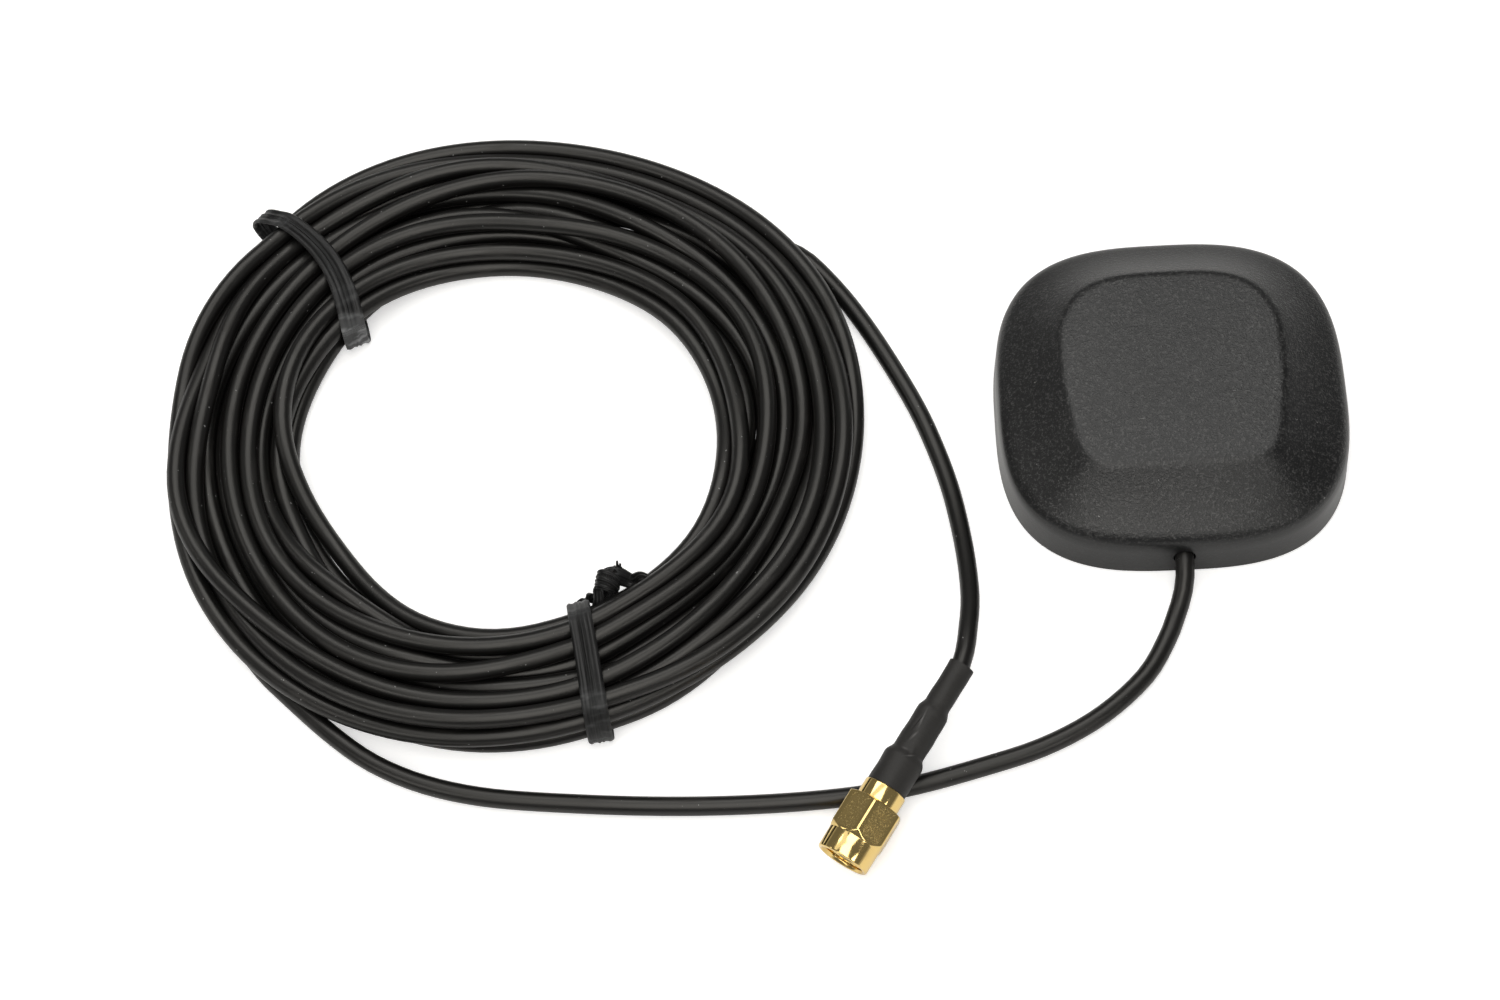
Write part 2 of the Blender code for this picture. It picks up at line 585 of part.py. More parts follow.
def build_lead(parts, materials, sleeve_end, sleeve_way):
    seal = turned("lead_seal", [
        (SEAL_RADIUS, 0.0), (SEAL_RADIUS, -LEAD_SEAL_LENGTH),
        (SEAL_BORE, -LEAD_SEAL_LENGTH), (SEAL_BORE, 0.0),
    ], parts, materials["rubber"], steps=24)
    seal.rotation_euler = (math.radians(90), 0, 0)
    seal.location = (0, -BASE_RIM_HALF, EXIT_HEIGHT)

    jacket_end = -(MAGNET_RADIUS + SEAT_GAP + MAGNET_WALL + JACKET_ROOM)
    middle = (jacket_end - PUCK_HALF) / 2
    out_straight = [Vector((0, y, EXIT_HEIGHT)) for y in (jacket_end, middle, -PUCK_HALF)]
    table = LEAD_RADIUS
    # Route over the surface from the puck to the coil, x and y in millimetres
    bend = [(-0.15, -28.8, 3.6), (-0.4, -30.5, 2.9), (-0.95, -32.3, 2.25), (-1.9, -34.6, 1.7)]
    flat = [
        (-3.4, -38.0), (-7.0, -43.7), (-13.6, -49.5), (-21.4, -53.7), (-30.1, -56.5), (-43.1, -59.6),
        (-56.0, -60.9), (-72.0, -61.0), (-89.0, -59.9), (-104.5, -57.9), (-116.0, -54.0),
        (-125.2, -47.7),
    ]
    route = out_straight
    route += [Vector((x * MM, y * MM, max(z * MM, table))) for x, y, z in bend]
    route += [Vector((x * MM, y * MM, table)) for x, y in flat]
    # The smooth curve dips a little past a bend, and the lead stays on the table
    way = [Vector((point.x, point.y, max(point.z, table))) for point in smooth_route(route, LEAD_STEP)]
    tube("antenna_lead", way, LEAD_RADIUS, parts, materials["jacket"])

    core_start = jacket_end + SEAT_GAP
    core_end = core_start + CORE_BARE_LENGTH
    core = [
        Vector((0, core_start, EXIT_HEIGHT)),
        Vector((0, core_end - 2 * CORE_RADIUS, EXIT_HEIGHT)),
        Vector((0, core_end, EXIT_HEIGHT + 2 * CORE_RADIUS)),
        Vector((0, core_end, BOARD_BOTTOM - FIT_GAP)),
    ]
    tube("lead_core", core, CORE_RADIUS, parts, materials["copper"])

    # Route over the surface from the coil to the plug, rising into its sleeve
    rise = [
        (-55.3, 31.4, 1.4), (-51.6, 27.4, 1.4), (-47.6, 21.7, 1.4), (-43.2, 13.8, 1.4), (-38.3, 3.4, 1.4),
        (-35.6, -4.2, 1.5),
        (-33.7, -11.4, 2.0), (-32.5, -18.8, 3.0), (-31.8, -26.2, 4.5), (-31.7, -32.6, 6.2),
        (-32.1, -37.4, 7.4),
    ]
    route = [Vector((x * MM, y * MM, max(z * MM, table))) for x, y, z in rise]
    route += [sleeve_end + sleeve_way * LEAD_RADIUS * 2, sleeve_end]
    inside = SLEEVE_END - FERRULE_END - SEAT_GAP
    route.append(sleeve_end - sleeve_way * inside)
    tube("connector_lead", smooth_route(route, LEAD_STEP), LEAD_RADIUS, parts, materials["jacket"])


def rounded_section(low_x, high_x, low_z, high_z, radius, arc_steps=3):
    """A rounded rectangle, clockwise from the top of its outer side."""
    points = []
    corners = [(high_x, high_z, 90), (high_x, low_z, 0), (low_x, low_z, -90), (low_x, high_z, -180)]
    for x, z, start in corners:
        centre_x = x - radius if x == high_x else x + radius
        centre_z = z - radius if z == high_z else z + radius
        for step in range(arc_steps + 1):
            angle = math.radians(start - 90 * step / arc_steps)
            points.append((centre_x + radius * math.cos(angle), centre_z + radius * math.sin(angle)))
    return points


def build_coil(parts, material):
    section = rounded_section(COIL_INNER_RADIUS, COIL_OUTER_RADIUS, COIL_BOTTOM, COIL_TOP, COIL_EDGE_ROUND)
    coil = turned("cable_coil", section, parts, material, steps=COIL_SEGMENTS)
    coil.location = (COIL_X, COIL_Y, 0)


def tie_reach(slant):
    """How far the coil reaches in and out along a slanted tie, from its middle."""
    outward = 0.0
    inward = 0.0
    for side in (-TIE_WIDTH / 2, 0.0, TIE_WIDTH / 2):
        along = COIL_MIDDLE * math.cos(slant)
        across = COIL_MIDDLE * math.sin(slant) + side
        outward = max(outward, math.sqrt(COIL_OUTER_RADIUS ** 2 - across ** 2) - along)
        inward = max(inward, along - math.sqrt(COIL_INNER_RADIUS ** 2 - across ** 2))
    return inward, outward


def build_tie(name, angle, slant, parts, material):
    """A flat band round the coil, in its own frame: X out from the coil's middle."""
    inward, outward = tie_reach(math.radians(slant))
    outline = bpy.data.curves.new(name, 'CURVE')
    outline.dimensions = '2D'
    outline.fill_mode = 'BOTH'
    outline.extrude = TIE_WIDTH / 2
    for grow in (SEAT_GAP + TIE_THICKNESS, SEAT_GAP):
        low = COIL_BOTTOM - grow
        high = COIL_TOP + grow
        section = rounded_section(-inward - grow, outward + grow, low, high, COIL_EDGE_ROUND + grow)
        spline = outline.splines.new('POLY')
        spline.points.add(len(section) - 1)
        for place, point in zip(spline.points, section):
            place.co = (*point, 0.0, 1.0)
        spline.use_cyclic_u = True
    band = add_object(name, outline, parts)
    heading = math.radians(angle)
    middle = Vector((COIL_X + COIL_MIDDLE * math.cos(heading), COIL_Y + COIL_MIDDLE * math.sin(heading), 0))
    turn = Matrix.Rotation(heading + math.radians(slant), 4, 'Z')
    band.matrix_world = Matrix.Translation(middle) @ turn @ Matrix.Rotation(math.radians(90), 4, 'X')
    band = to_mesh_object(band, parts, material)
    return band, Matrix.Translation(middle) @ turn, -inward - SEAT_GAP - TIE_THICKNESS


def build_knot(band, frame, edge, cutters):
    """The tie's two ends twisted together, and the tail that is left over."""
    sections = 11
    sides = 12
    rings = []
    for index in range(sections):
        share = index / (sections - 1)
        twist = 2 * math.pi * KNOT_TURNS * share
        fullness = KNOT_END_FULLNESS + (1 - KNOT_END_FULLNESS) * math.sin(math.pi * share)
        x = edge + TIE_THICKNESS / 2 - KNOT_LENGTH * share
        z = (COIL_BOTTOM + COIL_TOP) / 2 + KNOT_RISE * share
        ring = []
        for step in range(sides):
            angle = 2 * math.pi * step / sides
            y = KNOT_RADIUS * fullness * math.cos(angle)
            up = KNOT_RADIUS * KNOT_THINNESS * fullness * math.sin(angle)
            ring.append(Vector((
                x,
                y * math.cos(twist) - up * math.sin(twist),
                z + y * math.sin(twist) + up * math.cos(twist),
            )))
        rings.append(ring)
    knot = cutter_object(loft("knot", rings), cutters)
    knot.matrix_world = frame
    combine(band, knot, 'UNION')
    tail_z = (COIL_BOTTOM + COIL_TOP) / 2 + KNOT_RISE
    sizes = (TIE_WIDTH / 2, TAIL_LENGTH, TIE_THICKNESS)
    centre = (edge - KNOT_LENGTH + TIE_WIDTH / 4, TAIL_LENGTH / 2, tail_z)
    tail = cutter_object(box_mesh("knot_tail", sizes, centre), cutters)
    tail.matrix_world = frame
    combine(band, tail, 'UNION')


def build_nut(parts, cutters, material, axis):
    corner_room = HEX_CORNER + FIT_GAP
    hex_end = NUT_LENGTH
    bore_edge = NUT_BORE_RADIUS + NUT_CHAMFER
    neck_hole = NECK_RADIUS + FIT_GAP
    groove_low = GROOVE_START - FIT_GAP
    groove_high = GROOVE_START + GROOVE_LENGTH + FIT_GAP
    groove = SNAP_RING_RADIUS + FIT_GAP
    nut = turned("coupling_nut", [
        (NUT_FRONT_RADIUS, hex_end), (corner_room, hex_end - HEX_REAR_CHAMFER),
        (corner_room, NUT_FRONT_LENGTH + HEX_FRONT_CHAMFER), (NUT_FRONT_RADIUS, NUT_FRONT_LENGTH),
        (NUT_FRONT_RADIUS, NUT_CHAMFER), (NUT_FRONT_RADIUS - NUT_CHAMFER, 0.0),
        (bore_edge, 0.0), (NUT_BORE_RADIUS, NUT_CHAMFER),
        (NUT_BORE_RADIUS, NUT_BORE_DEPTH), (neck_hole, NUT_BORE_DEPTH),
        (neck_hole, groove_low), (groove, groove_low),
        (groove, groove_high), (neck_hole, groove_high),
        (neck_hole, hex_end),
    ], parts, material, axis, NUT_STEPS)
    prism = rod_mesh("hex_prism", HEX_CORNER, -OVERCUT, hex_end + OVERCUT, sides=6)
    prism = cutter_object(prism, cutters, axis)
    prism.rotation_euler = (0, 0, math.radians(NUT_TURN))
    combine(nut, prism, 'INTERSECT')


def build_plug(parts, cutters, materials, axis):
    gold = materials["gold"]
    groove_end = GROOVE_START + GROOVE_LENGTH
    contact_end = CONTACT_RECESS + CONTACT_LENGTH
    bore_end = CONTACT_RECESS + INSULATOR_LENGTH + FIT_GAP
    turned("connector_body", [
        (STEM_RADIUS, STEM_END), (STEM_RADIUS, SHOULDER_END),
        (SHOULDER_RADIUS, SHOULDER_END), (SHOULDER_RADIUS, COLLAR_END),
        (COLLAR_RADIUS, COLLAR_END), (COLLAR_RADIUS, COLLAR_START),
        (NECK_RADIUS, COLLAR_START), (NECK_RADIUS, groove_end),
        (GROOVE_FLOOR_RADIUS + FIT_GAP / 2, groove_end), (GROOVE_FLOOR_RADIUS + FIT_GAP / 2, GROOVE_START),
        (NECK_RADIUS, GROOVE_START), (NECK_RADIUS, contact_end),
        (CONTACT_RADIUS, contact_end), (CONTACT_RADIUS, CONTACT_RECESS),
        (BODY_BORE, CONTACT_RECESS), (BODY_BORE, bore_end),
        (STEM_BORE_RADIUS, bore_end), (STEM_BORE_RADIUS, STEM_END),
    ], parts, gold, axis)
    insulator_end = CONTACT_RECESS + INSULATOR_LENGTH
    turned("insulator", [
        (INSULATOR_RADIUS, insulator_end), (INSULATOR_RADIUS, CONTACT_RECESS),
        (INSULATOR_BORE, CONTACT_RECESS), (INSULATOR_BORE, insulator_end),
    ], parts, materials["insulator"], axis)
    tip = CONTACT_RECESS - PIN_REACH
    turned("centre_pin", [
        (0.0, insulator_end - SEAT_GAP), (PIN_RADIUS, insulator_end - SEAT_GAP),
        (PIN_RADIUS, tip + PIN_TIP_LENGTH), (PIN_TIP_RADIUS, tip), (0.0, tip),
    ], parts, gold, axis, 20)

    ring_start = contact_end - FIT_GAP - SEALING_RING_LENGTH
    turned("sealing_ring", [
        (NUT_BORE_RADIUS - FIT_GAP, contact_end - FIT_GAP), (NUT_BORE_RADIUS - FIT_GAP, ring_start),
        (CONTACT_RADIUS + FIT_GAP, ring_start), (CONTACT_RADIUS + FIT_GAP, contact_end - FIT_GAP),
    ], parts, materials["silicone"], axis)

    snap_inner = GROOVE_FLOOR_RADIUS + FIT_GAP * 1.5
    snap = turned("snap_ring", [
        (SNAP_RING_RADIUS, groove_end - FIT_GAP), (SNAP_RING_RADIUS, GROOVE_START + FIT_GAP),
        (snap_inner, GROOVE_START + FIT_GAP), (snap_inner, groove_end - FIT_GAP),
    ], parts, materials["copper"], axis)
    sizes = (SNAP_RING_RADIUS * 2, SNAP_RING_OPENING, GROOVE_LENGTH * 2)
    opening = box_mesh("snap_opening", sizes, (SNAP_RING_RADIUS, 0, GROOVE_START))
    combine(snap, cutter_object(opening, cutters, axis), 'DIFFERENCE')

    turned("crimp_ferrule", [
        (FERRULE_RADIUS, FERRULE_END), (FERRULE_RADIUS, FERRULE_START),
        (FERRULE_BORE, FERRULE_START), (FERRULE_BORE, FERRULE_END),
    ], parts, gold, axis)

    first = SHOULDER_END + FIT_GAP
    second = FERRULE_END + FIT_GAP
    step = SLEEVE_STEP_LENGTH
    turned("shrink_sleeve", [
        (SLEEVE_THIN_RADIUS, SLEEVE_END), (SLEEVE_THIN_RADIUS, second + step * 1.5),
        (SLEEVE_MID_RADIUS, second + step / 2), (SLEEVE_MID_RADIUS, first + step * 1.5),
        (SLEEVE_FAT_RADIUS, first + step / 2), (SLEEVE_FAT_RADIUS, SLEEVE_START),
        (SLEEVE_FAT_BORE, SLEEVE_START), (SLEEVE_FAT_BORE, first),
        (SLEEVE_MID_BORE, first + step), (SLEEVE_MID_BORE, second),
        (SLEEVE_THIN_BORE, second + step), (SLEEVE_THIN_BORE, SLEEVE_END),
    ], parts, materials["sleeve"], axis)


def main():
    clear_scene()
    parts = make_collection("gps_antenna")
    cutters = make_collection("cutters")
    materials = {
        "cover": make_material("cover_plastic", (0.045, 0.047, 0.049), 0.62),
        "base": make_material("base_plastic", (0.03, 0.03, 0.032), 0.6),
        "rubber": make_material("black_rubber", (0.02, 0.02, 0.02), 0.8),
        "steel": make_material("zinc_steel", (0.6, 0.6, 0.62), 0.35, 1.0),
        "magnet": make_material("nickel_magnet", (0.55, 0.54, 0.52), 0.25, 1.0),
        "board": make_material("green_board", (0.02, 0.13, 0.05), 0.45),
        "tape": make_material("white_tape", (0.75, 0.75, 0.72), 0.7),
        "ceramic": make_material("cream_ceramic", (0.62, 0.56, 0.45), 0.5),
        "tin": make_material("tinned_steel", (0.65, 0.65, 0.66), 0.3, 1.0),
        "chip": make_material("black_chip", (0.02, 0.02, 0.02), 0.5),
        "jacket": make_material("black_jacket", (0.012, 0.012, 0.012), 0.35),
        "copper": make_material("copper", (0.75, 0.4, 0.2), 0.35, 1.0),
        "gold": make_material("gold_plate", (0.83, 0.6, 0.22), 0.2, 1.0),
        "insulator": make_material("white_insulator", (0.85, 0.85, 0.82), 0.4),
        "silicone": make_material("red_silicone", (0.5, 0.08, 0.04), 0.5),
        "sleeve": make_material("shrink_tube", (0.025, 0.025, 0.025), 0.55),
        "tie": make_material("tie_plastic", (0.015, 0.015, 0.015), 0.4),
    }
    build_cover(parts, cutters, materials["cover"])
    build_base(parts, cutters, materials)
    build_electronics(parts, cutters, materials)

    plug_axis = add_object("plug_axis", None, parts)
    plug_axis.location = (PLUG_X, PLUG_Y, PLUG_Z)
    plug_axis.rotation_euler = (0, math.radians(90) - PLUG_TILT, math.radians(PLUG_HEADING))
    nut_axis = add_object("nut_axis", None, parts, parent=plug_axis)
    build_plug(parts, cutters, materials, plug_axis)
    build_nut(parts, cutters, materials["gold"], nut_axis)

    bpy.context.view_layer.update()
    sleeve_way = (plug_axis.matrix_world.to_3x3() @ Vector((0, 0, 1))).normalized()
    sleeve_end = plug_axis.matrix_world @ Vector((0, 0, SLEEVE_END))
    build_lead(parts, materials, sleeve_end, sleeve_way)
    build_coil(parts, materials["jacket"])
    band, frame, edge = build_tie("front_tie", FRONT_TIE_ANGLE, FRONT_TIE_SLANT, parts, materials["tie"])
    build_knot(band, frame, edge, cutters)
    build_tie("rear_tie", REAR_TIE_ANGLE, REAR_TIE_SLANT, parts, materials["tie"])


main()
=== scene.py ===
"""Looks of the GPS antenna: its moulded cover, the coiled lead with its ties, and the gold plug.

Everything is in metres in the frame of the model. Sizes in millimetres are multiplied by MM.
"""

import math

import bmesh
import bpy
import numpy as np
from mathutils import Matrix, Vector


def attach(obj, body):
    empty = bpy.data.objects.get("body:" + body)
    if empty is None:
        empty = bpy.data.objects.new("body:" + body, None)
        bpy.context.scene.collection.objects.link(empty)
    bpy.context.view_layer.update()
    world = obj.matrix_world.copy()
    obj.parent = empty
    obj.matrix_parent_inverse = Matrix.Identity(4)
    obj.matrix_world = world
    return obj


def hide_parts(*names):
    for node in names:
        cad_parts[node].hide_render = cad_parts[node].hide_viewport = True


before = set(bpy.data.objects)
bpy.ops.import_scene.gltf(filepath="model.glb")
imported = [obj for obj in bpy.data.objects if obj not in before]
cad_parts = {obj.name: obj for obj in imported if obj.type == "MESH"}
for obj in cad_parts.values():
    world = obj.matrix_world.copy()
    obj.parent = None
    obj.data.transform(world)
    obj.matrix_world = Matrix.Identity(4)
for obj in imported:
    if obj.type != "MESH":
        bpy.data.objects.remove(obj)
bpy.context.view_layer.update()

MM = 0.001

# Camera, as the photograph was taken
CAMERA_PLACE = Vector((-0.040662, -0.225630, 0.401651))
CAMERA_RIGHT = Vector((0.9976128, -0.0174451, -0.0668160))
CAMERA_UP = Vector((0.0468103, 0.8821787, 0.4685826))
CAMERA_LENS = 72.446
SENSOR_WIDTH = 36.0

# Puck cover, in millimetres
PUCK_HALF = 26.3
PUCK_DRAFT = 0.4
TOP_HALF = PUCK_HALF - PUCK_DRAFT
PUCK_SQUARENESS = 2.96
PLATEAU_HALF = 15.9
RIM_HEIGHT = 8.1
RIM_ROUND = 1.5
PLATEAU_ROUND = 0.75
COVER_WALL = 2.0
COVER_TOP = 14.65
COVER_BOTTOM = 0.3
CROWN = 0.12
FLANK_RUN = 11.5
FLANK_HOLLOW = 0.22
PLATEAU_SPREAD = (0.2, 0.1)
PLATEAU_SHIFT = 0.4
PLATEAU_TAPER = 0.13
ROOF_UNDERSIDE = 12.65
LEDGE = 2.3
INNER_HALF = 24.1
REBATE_HALF = 25.0
BOSS_XY = 16.0
BOSS_RADIUS = 2.3
BOSS_BOTTOM = 3.2
PILOT_RADIUS = 0.95
PILOT_TOP = 6.7
EXIT_HEIGHT = 4.1
EXIT_RADIUS = 1.65
COVER_SEGMENTS = 256

# Lead, in millimetres
LEAD_DIAMETER = 2.8
LEAD_SIDES = 20
JACKET_START = -12.25
SHARP_BEND = 0.35

# Coil of the lead: lengths in millimetres, angles in degrees round its middle
COIL_X = -100.6
COIL_TURNS = 17
COIL_START = 238.0
COIL_FINISH = 40.0
STATIONS = 72

# Twist ties. Their middles lie COIL_MIDDLE from a point that is COIL_Y behind the coil's own middle,
# and each has a place round the coil and a slant, in degrees
TIE_WIDTH = 3.7
TIE_THICKNESS = 0.62
TIE_CLEARANCE = 0.08
COIL_MIDDLE = 42.3
COIL_Y = 1.0
FRONT_TIE = (-72.3, -8.6)
REAR_TIE = (137.3, -12.7)
TIE_REACH = 12.5
# Two lines on a band, beside its middle line
TIE_LINES = TIE_WIDTH * 0.4

# Plug: its open end, heading and tilt, and lengths along its axis from there
PLUG_PLACE = Vector((-51.68, -71.22, 4.23054))
PLUG_HEADING = 56.1
PLUG_TILT = 7.632
NUT_FRONT = 3.3
NUT_LENGTH = 9.3
NUT_FRONT_RADIUS = 3.95
NUT_FLATS = 8.0
NUT_TURN = 38.0
NUT_CORNER_ROUND = 0.30
NUT_CHAMFER = 1.12
NUT_CONE_RISE = 0.77
NUT_REAR_RADIUS = 4.12
NUT_REAR_SLOPE = 1.75
NUT_EDGE_BLEND = 0.12
NUT_BORE_RADIUS = 3.25
NUT_STEPS = 288
THREAD_START = 0.35
THREAD_PITCH = 0.706
THREAD_CREST = 2.98
THREAD_ROOT = 3.32
THREAD_END = 5.3
NUT_BORE_DEPTH = 5.9
NECK_HOLE = 2.75
COLLAR_START = 9.4
COLLAR_END = 11.9
COLLAR_RADIUS = 3.2
SLEEVE_START = 12.0
SLEEVE_END = 32.9
SLEEVE_LEAST_WALL = 0.15

# Light
FLOOR_HALF = 6.0
FLOOR_SHADE = 0.86
FLOOR_GLOW = 0.45
MIRRORED_GLOW = 0.05
MIRRORED_HORIZON = 0.45
ROOM_LIGHT = 0.20
HORIZON_LOW = 0.06
HORIZON_HIGH = 0.18
LAMPS_OVER = Vector((-0.05, -0.075, 0.0))
LAMP_HEIGHT = 1.0
WARM = (1.0, 0.98, 0.94)


# Shader maths

class Sock:
    """An output of a node that Python's operators work on."""

    def __init__(self, nodes, socket):
        self.nodes = nodes
        self.socket = socket

    def maths(self, operation, *values):
        return self.nodes.node("ShaderNodeMath", {"operation": operation}, dict(enumerate(values)))

    def __add__(self, other):
        return self.maths('ADD', self, other)

    def __radd__(self, other):
        return self.maths('ADD', other, self)

    def __sub__(self, other):
        return self.maths('SUBTRACT', self, other)

    def __rsub__(self, other):
        return self.maths('SUBTRACT', other, self)

    def __mul__(self, other):
        return self.maths('MULTIPLY', self, other)

    def __rmul__(self, other):
        return self.maths('MULTIPLY', other, self)

    def __pow__(self, other):
        return self.maths('POWER', self, other)

    def wave(self):
        return self.maths('SINE', self)

    def rise(self, low, high):
        """0 below the low value and 1 above the high one, smooth between them."""
        return self.nodes.node("ShaderNodeMapRange", {"interpolation_type": 'SMOOTHSTEP'},
                               {"Value": self, "From Min": low, "From Max": high})


class Nodes:
    """The nodes of a material or of the world, with the old ones cleared."""

    def __init__(self, owner):
        owner.use_nodes = True
        self.tree = owner.node_tree
        self.tree.nodes.clear()

    def feed(self, node, sockets):
        for key, value in sockets.items():
            socket = node.inputs[key]
            if isinstance(value, Sock):
                self.tree.links.new(value.socket, socket)
            elif socket.type == 'RGBA':
                socket.default_value = (*value[:3], 1.0)
            else:
                socket.default_value = value

    def node(self, kind, settings=None, sockets=None, output=0):
        node = self.tree.nodes.new(kind)
        for key, value in (settings or {}).items():
            setattr(node, key, value)
        self.feed(node, sockets or {})
        return Sock(self, node.outputs[output])

    def part(self, vector, axis):
        return self.node("ShaderNodeSeparateXYZ", None, {0: vector}, output=axis)

    def show(self, kind, surface):
        """Ends the nodes in an output node of a kind."""
        self.feed(self.tree.nodes.new(kind), {"Surface": surface})


class Finish(Nodes):
    """One material: a Principled shader, and the nodes that vary it."""

    def __init__(self, name, uniform=None):
        self.material = bpy.data.materials.new(name)
        super().__init__(self.material)
        self.shader = self.tree.nodes.new("ShaderNodeBsdfPrincipled")
        self.show("ShaderNodeOutputMaterial", Sock(self, self.shader.outputs["BSDF"]))
        self.feed(self.shader, uniform or {})

    def wear(self, **sockets):
        """Feeds the shader's own sockets, such as base_color, roughness or normal."""
        self.feed(self.shader, {key.replace("_", " ").title(): value for key, value in sockets.items()})
        return self.material

    def millimetres(self, attribute=None):
        """Coordinates in millimetres, of the object or along a swept piece."""
        if attribute:
            return self.node("ShaderNodeAttribute", {"attribute_name": attribute}, output="Vector")
        place = self.node("ShaderNodeTexCoord", output="Object")
        return self.node("ShaderNodeVectorMath", {"operation": 'SCALE'}, {0: place, "Scale": 1 / MM})

    def stretched(self, vector, factors):
        return self.node("ShaderNodeVectorMath", {"operation": 'MULTIPLY'}, {0: vector, 1: factors})

    def noise(self, vector, per_mm, detail, rough=0.5):
        sockets = {"Vector": vector, "Scale": per_mm, "Detail": detail, "Roughness": rough}
        return self.node("ShaderNodeTexNoise", None, sockets)

    def mix(self, share, first, second):
        return self.node("ShaderNodeMix", {"data_type": 'RGBA'}, {0: share, 6: first, 7: second}, output=2)

    def bump(self, height, depth_mm, strength):
        sockets = {"Height": height, "Distance": depth_mm * MM, "Strength": strength}
        return self.node("ShaderNodeBump", None, sockets)


def grey(value, warm=0.0):
    """A grey of a given lightness, a little warm or cold."""
    return (value * (1 + warm), value, value * (1 - warm))


def cover_plastic():
    """Dark grey plastic: spark-eroded grain on the top, smoother on the wall."""
    fin = Finish("cover_plastic", {"Specular IOR Level": 0.41})
    spot = fin.millimetres()
    height = fin.part(spot, "Z")
    top = height.rise(7.0, 8.6) * (1 - fin.part(spot, "Y").rise(16.5, 20.0) * 0.6)
    coarse = fin.noise(spot, 2.0, 3.0, 0.7)
    fine = fin.noise(spot, 4.2, 2.0, 0.6)
    fleck = (coarse * 0.55 + fine * 0.45).rise(0.49, 0.64)
    cloud = fin.noise(spot, 0.09, 3.0)
    speck = fin.noise(spot, 1.5, 1.0).rise(0.80, 0.82)
    hairline = fin.noise(fin.stretched(spot, (0.45, 5.0, 5.0)), 1.0, 1.0).rise(0.80, 0.83)
    marks = (speck + hairline) * top
    colour = fin.mix(cloud, grey(0.005, -0.04), grey(0.007, -0.02))
    colour = fin.mix(fleck * (0.2 + top * 0.6), colour, grey(0.056, 0.01))
    colour = fin.mix(marks * 0.5, colour, grey(0.30, 0.02))
    rough = 0.285 + coarse * 0.07 - cloud * 0.04
    relief = fin.bump(coarse * 0.6 + fine * 0.4, 0.12, 0.2 + top * 0.8)
    return fin.wear(base_color=colour, roughness=rough, normal=relief)


def black_jacket():
    """Satin black jacket with drawn streaks, rubbed places and specks of dust."""
    fin = Finish("black_jacket", {"Specular IOR Level": 0.44, "Specular Tint": WARM})
    run = fin.millimetres("run")
    drawn = fin.noise(fin.stretched(run, (0.05, 1.6, 1.6)), 1.0, 3.0)
    cloud = fin.noise(fin.stretched(run, (0.06, 0.25, 0.25)), 1.0, 2.0)
    grain = fin.noise(run, 5.0, 2.0)
    dust = fin.noise(run, 1.9, 1.0).rise(0.78, 0.80)
    rub = fin.noise(fin.stretched(run, (0.14, 0.7, 0.7)), 1.0, 3.0).rise(0.56, 0.74)
    colour = fin.mix(cloud, grey(0.003, 0.02), grey(0.005, 0.06))
    colour = fin.mix(rub * 0.5, colour, grey(0.014, 0.08))
    colour = fin.mix(dust * 0.6, colour, grey(0.3))
    rough = 0.25 + drawn * 0.12 + cloud * 0.08 + rub * 0.14
    height = drawn * 0.7 + grain * 0.3
    return fin.wear(base_color=colour, roughness=rough, normal=fin.bump(height, 0.034, 0.6))


def tie_plastic():
    """Dark ribbon with drawn lines along it, whitened where it is bent."""
    fin = Finish("tie_plastic", {"Specular IOR Level": 0.26})
    run = fin.millimetres("run")
    bent = fin.node("ShaderNodeAttribute", {"attribute_name": "bent"}, output="Fac")
    drawn = fin.noise(fin.stretched(run, (0.12, 4.0, 1.0)), 1.0, 3.0)
    crease = fin.noise(fin.stretched(run, (0.9, 0.3, 0.3)), 1.0, 2.0).rise(0.45, 0.75)
    colour = fin.mix(drawn.rise(0.35, 0.65), grey(0.003), grey(0.011))
    colour = fin.mix(bent * (0.10 + crease * 0.34), colour, grey(0.26, -0.02))
    rough = 0.25 + drawn * 0.2 + bent * 0.1
    return fin.wear(base_color=colour, roughness=rough, normal=fin.bump(drawn, 0.10, 0.8))


def shrink_tube():
    """Matt black shrink tube, a little dusty, with finer wrinkles than the mesh has and painted highlights on
    its creases.
    """
    fin = Finish("shrink_tube", {"Specular IOR Level": 0.2})
    spot = fin.millimetres()
    cloud = fin.noise(spot, 0.3, 3.0)
    grain = fin.noise(spot, 4.5, 3.0)
    wrinkle = fin.noise(fin.stretched(spot, (0.8, 0.8, 2.2)), 1.0, 3.0)
    colour = fin.mix(cloud, grey(0.020, 0.03), grey(0.029, 0.05))
    colour = fin.mix(grain.rise(0.62, 0.8) * 0.3, colour, grey(0.06))
    # Painted highlight: a lighter grey along the sleeve's creases, where the bent attribute is set
    painted_crease_highlight = fin.node("ShaderNodeAttribute", {"attribute_name": "bent"}, output="Fac")
    colour = fin.mix(painted_crease_highlight * (0.4 + grain * 0.6), colour, grey(0.17, 0.02))
    rough = 0.40 + cloud * 0.14
    return fin.wear(base_color=colour, roughness=rough, normal=fin.bump(grain * 0.4 + wrinkle, 0.06, 0.6))


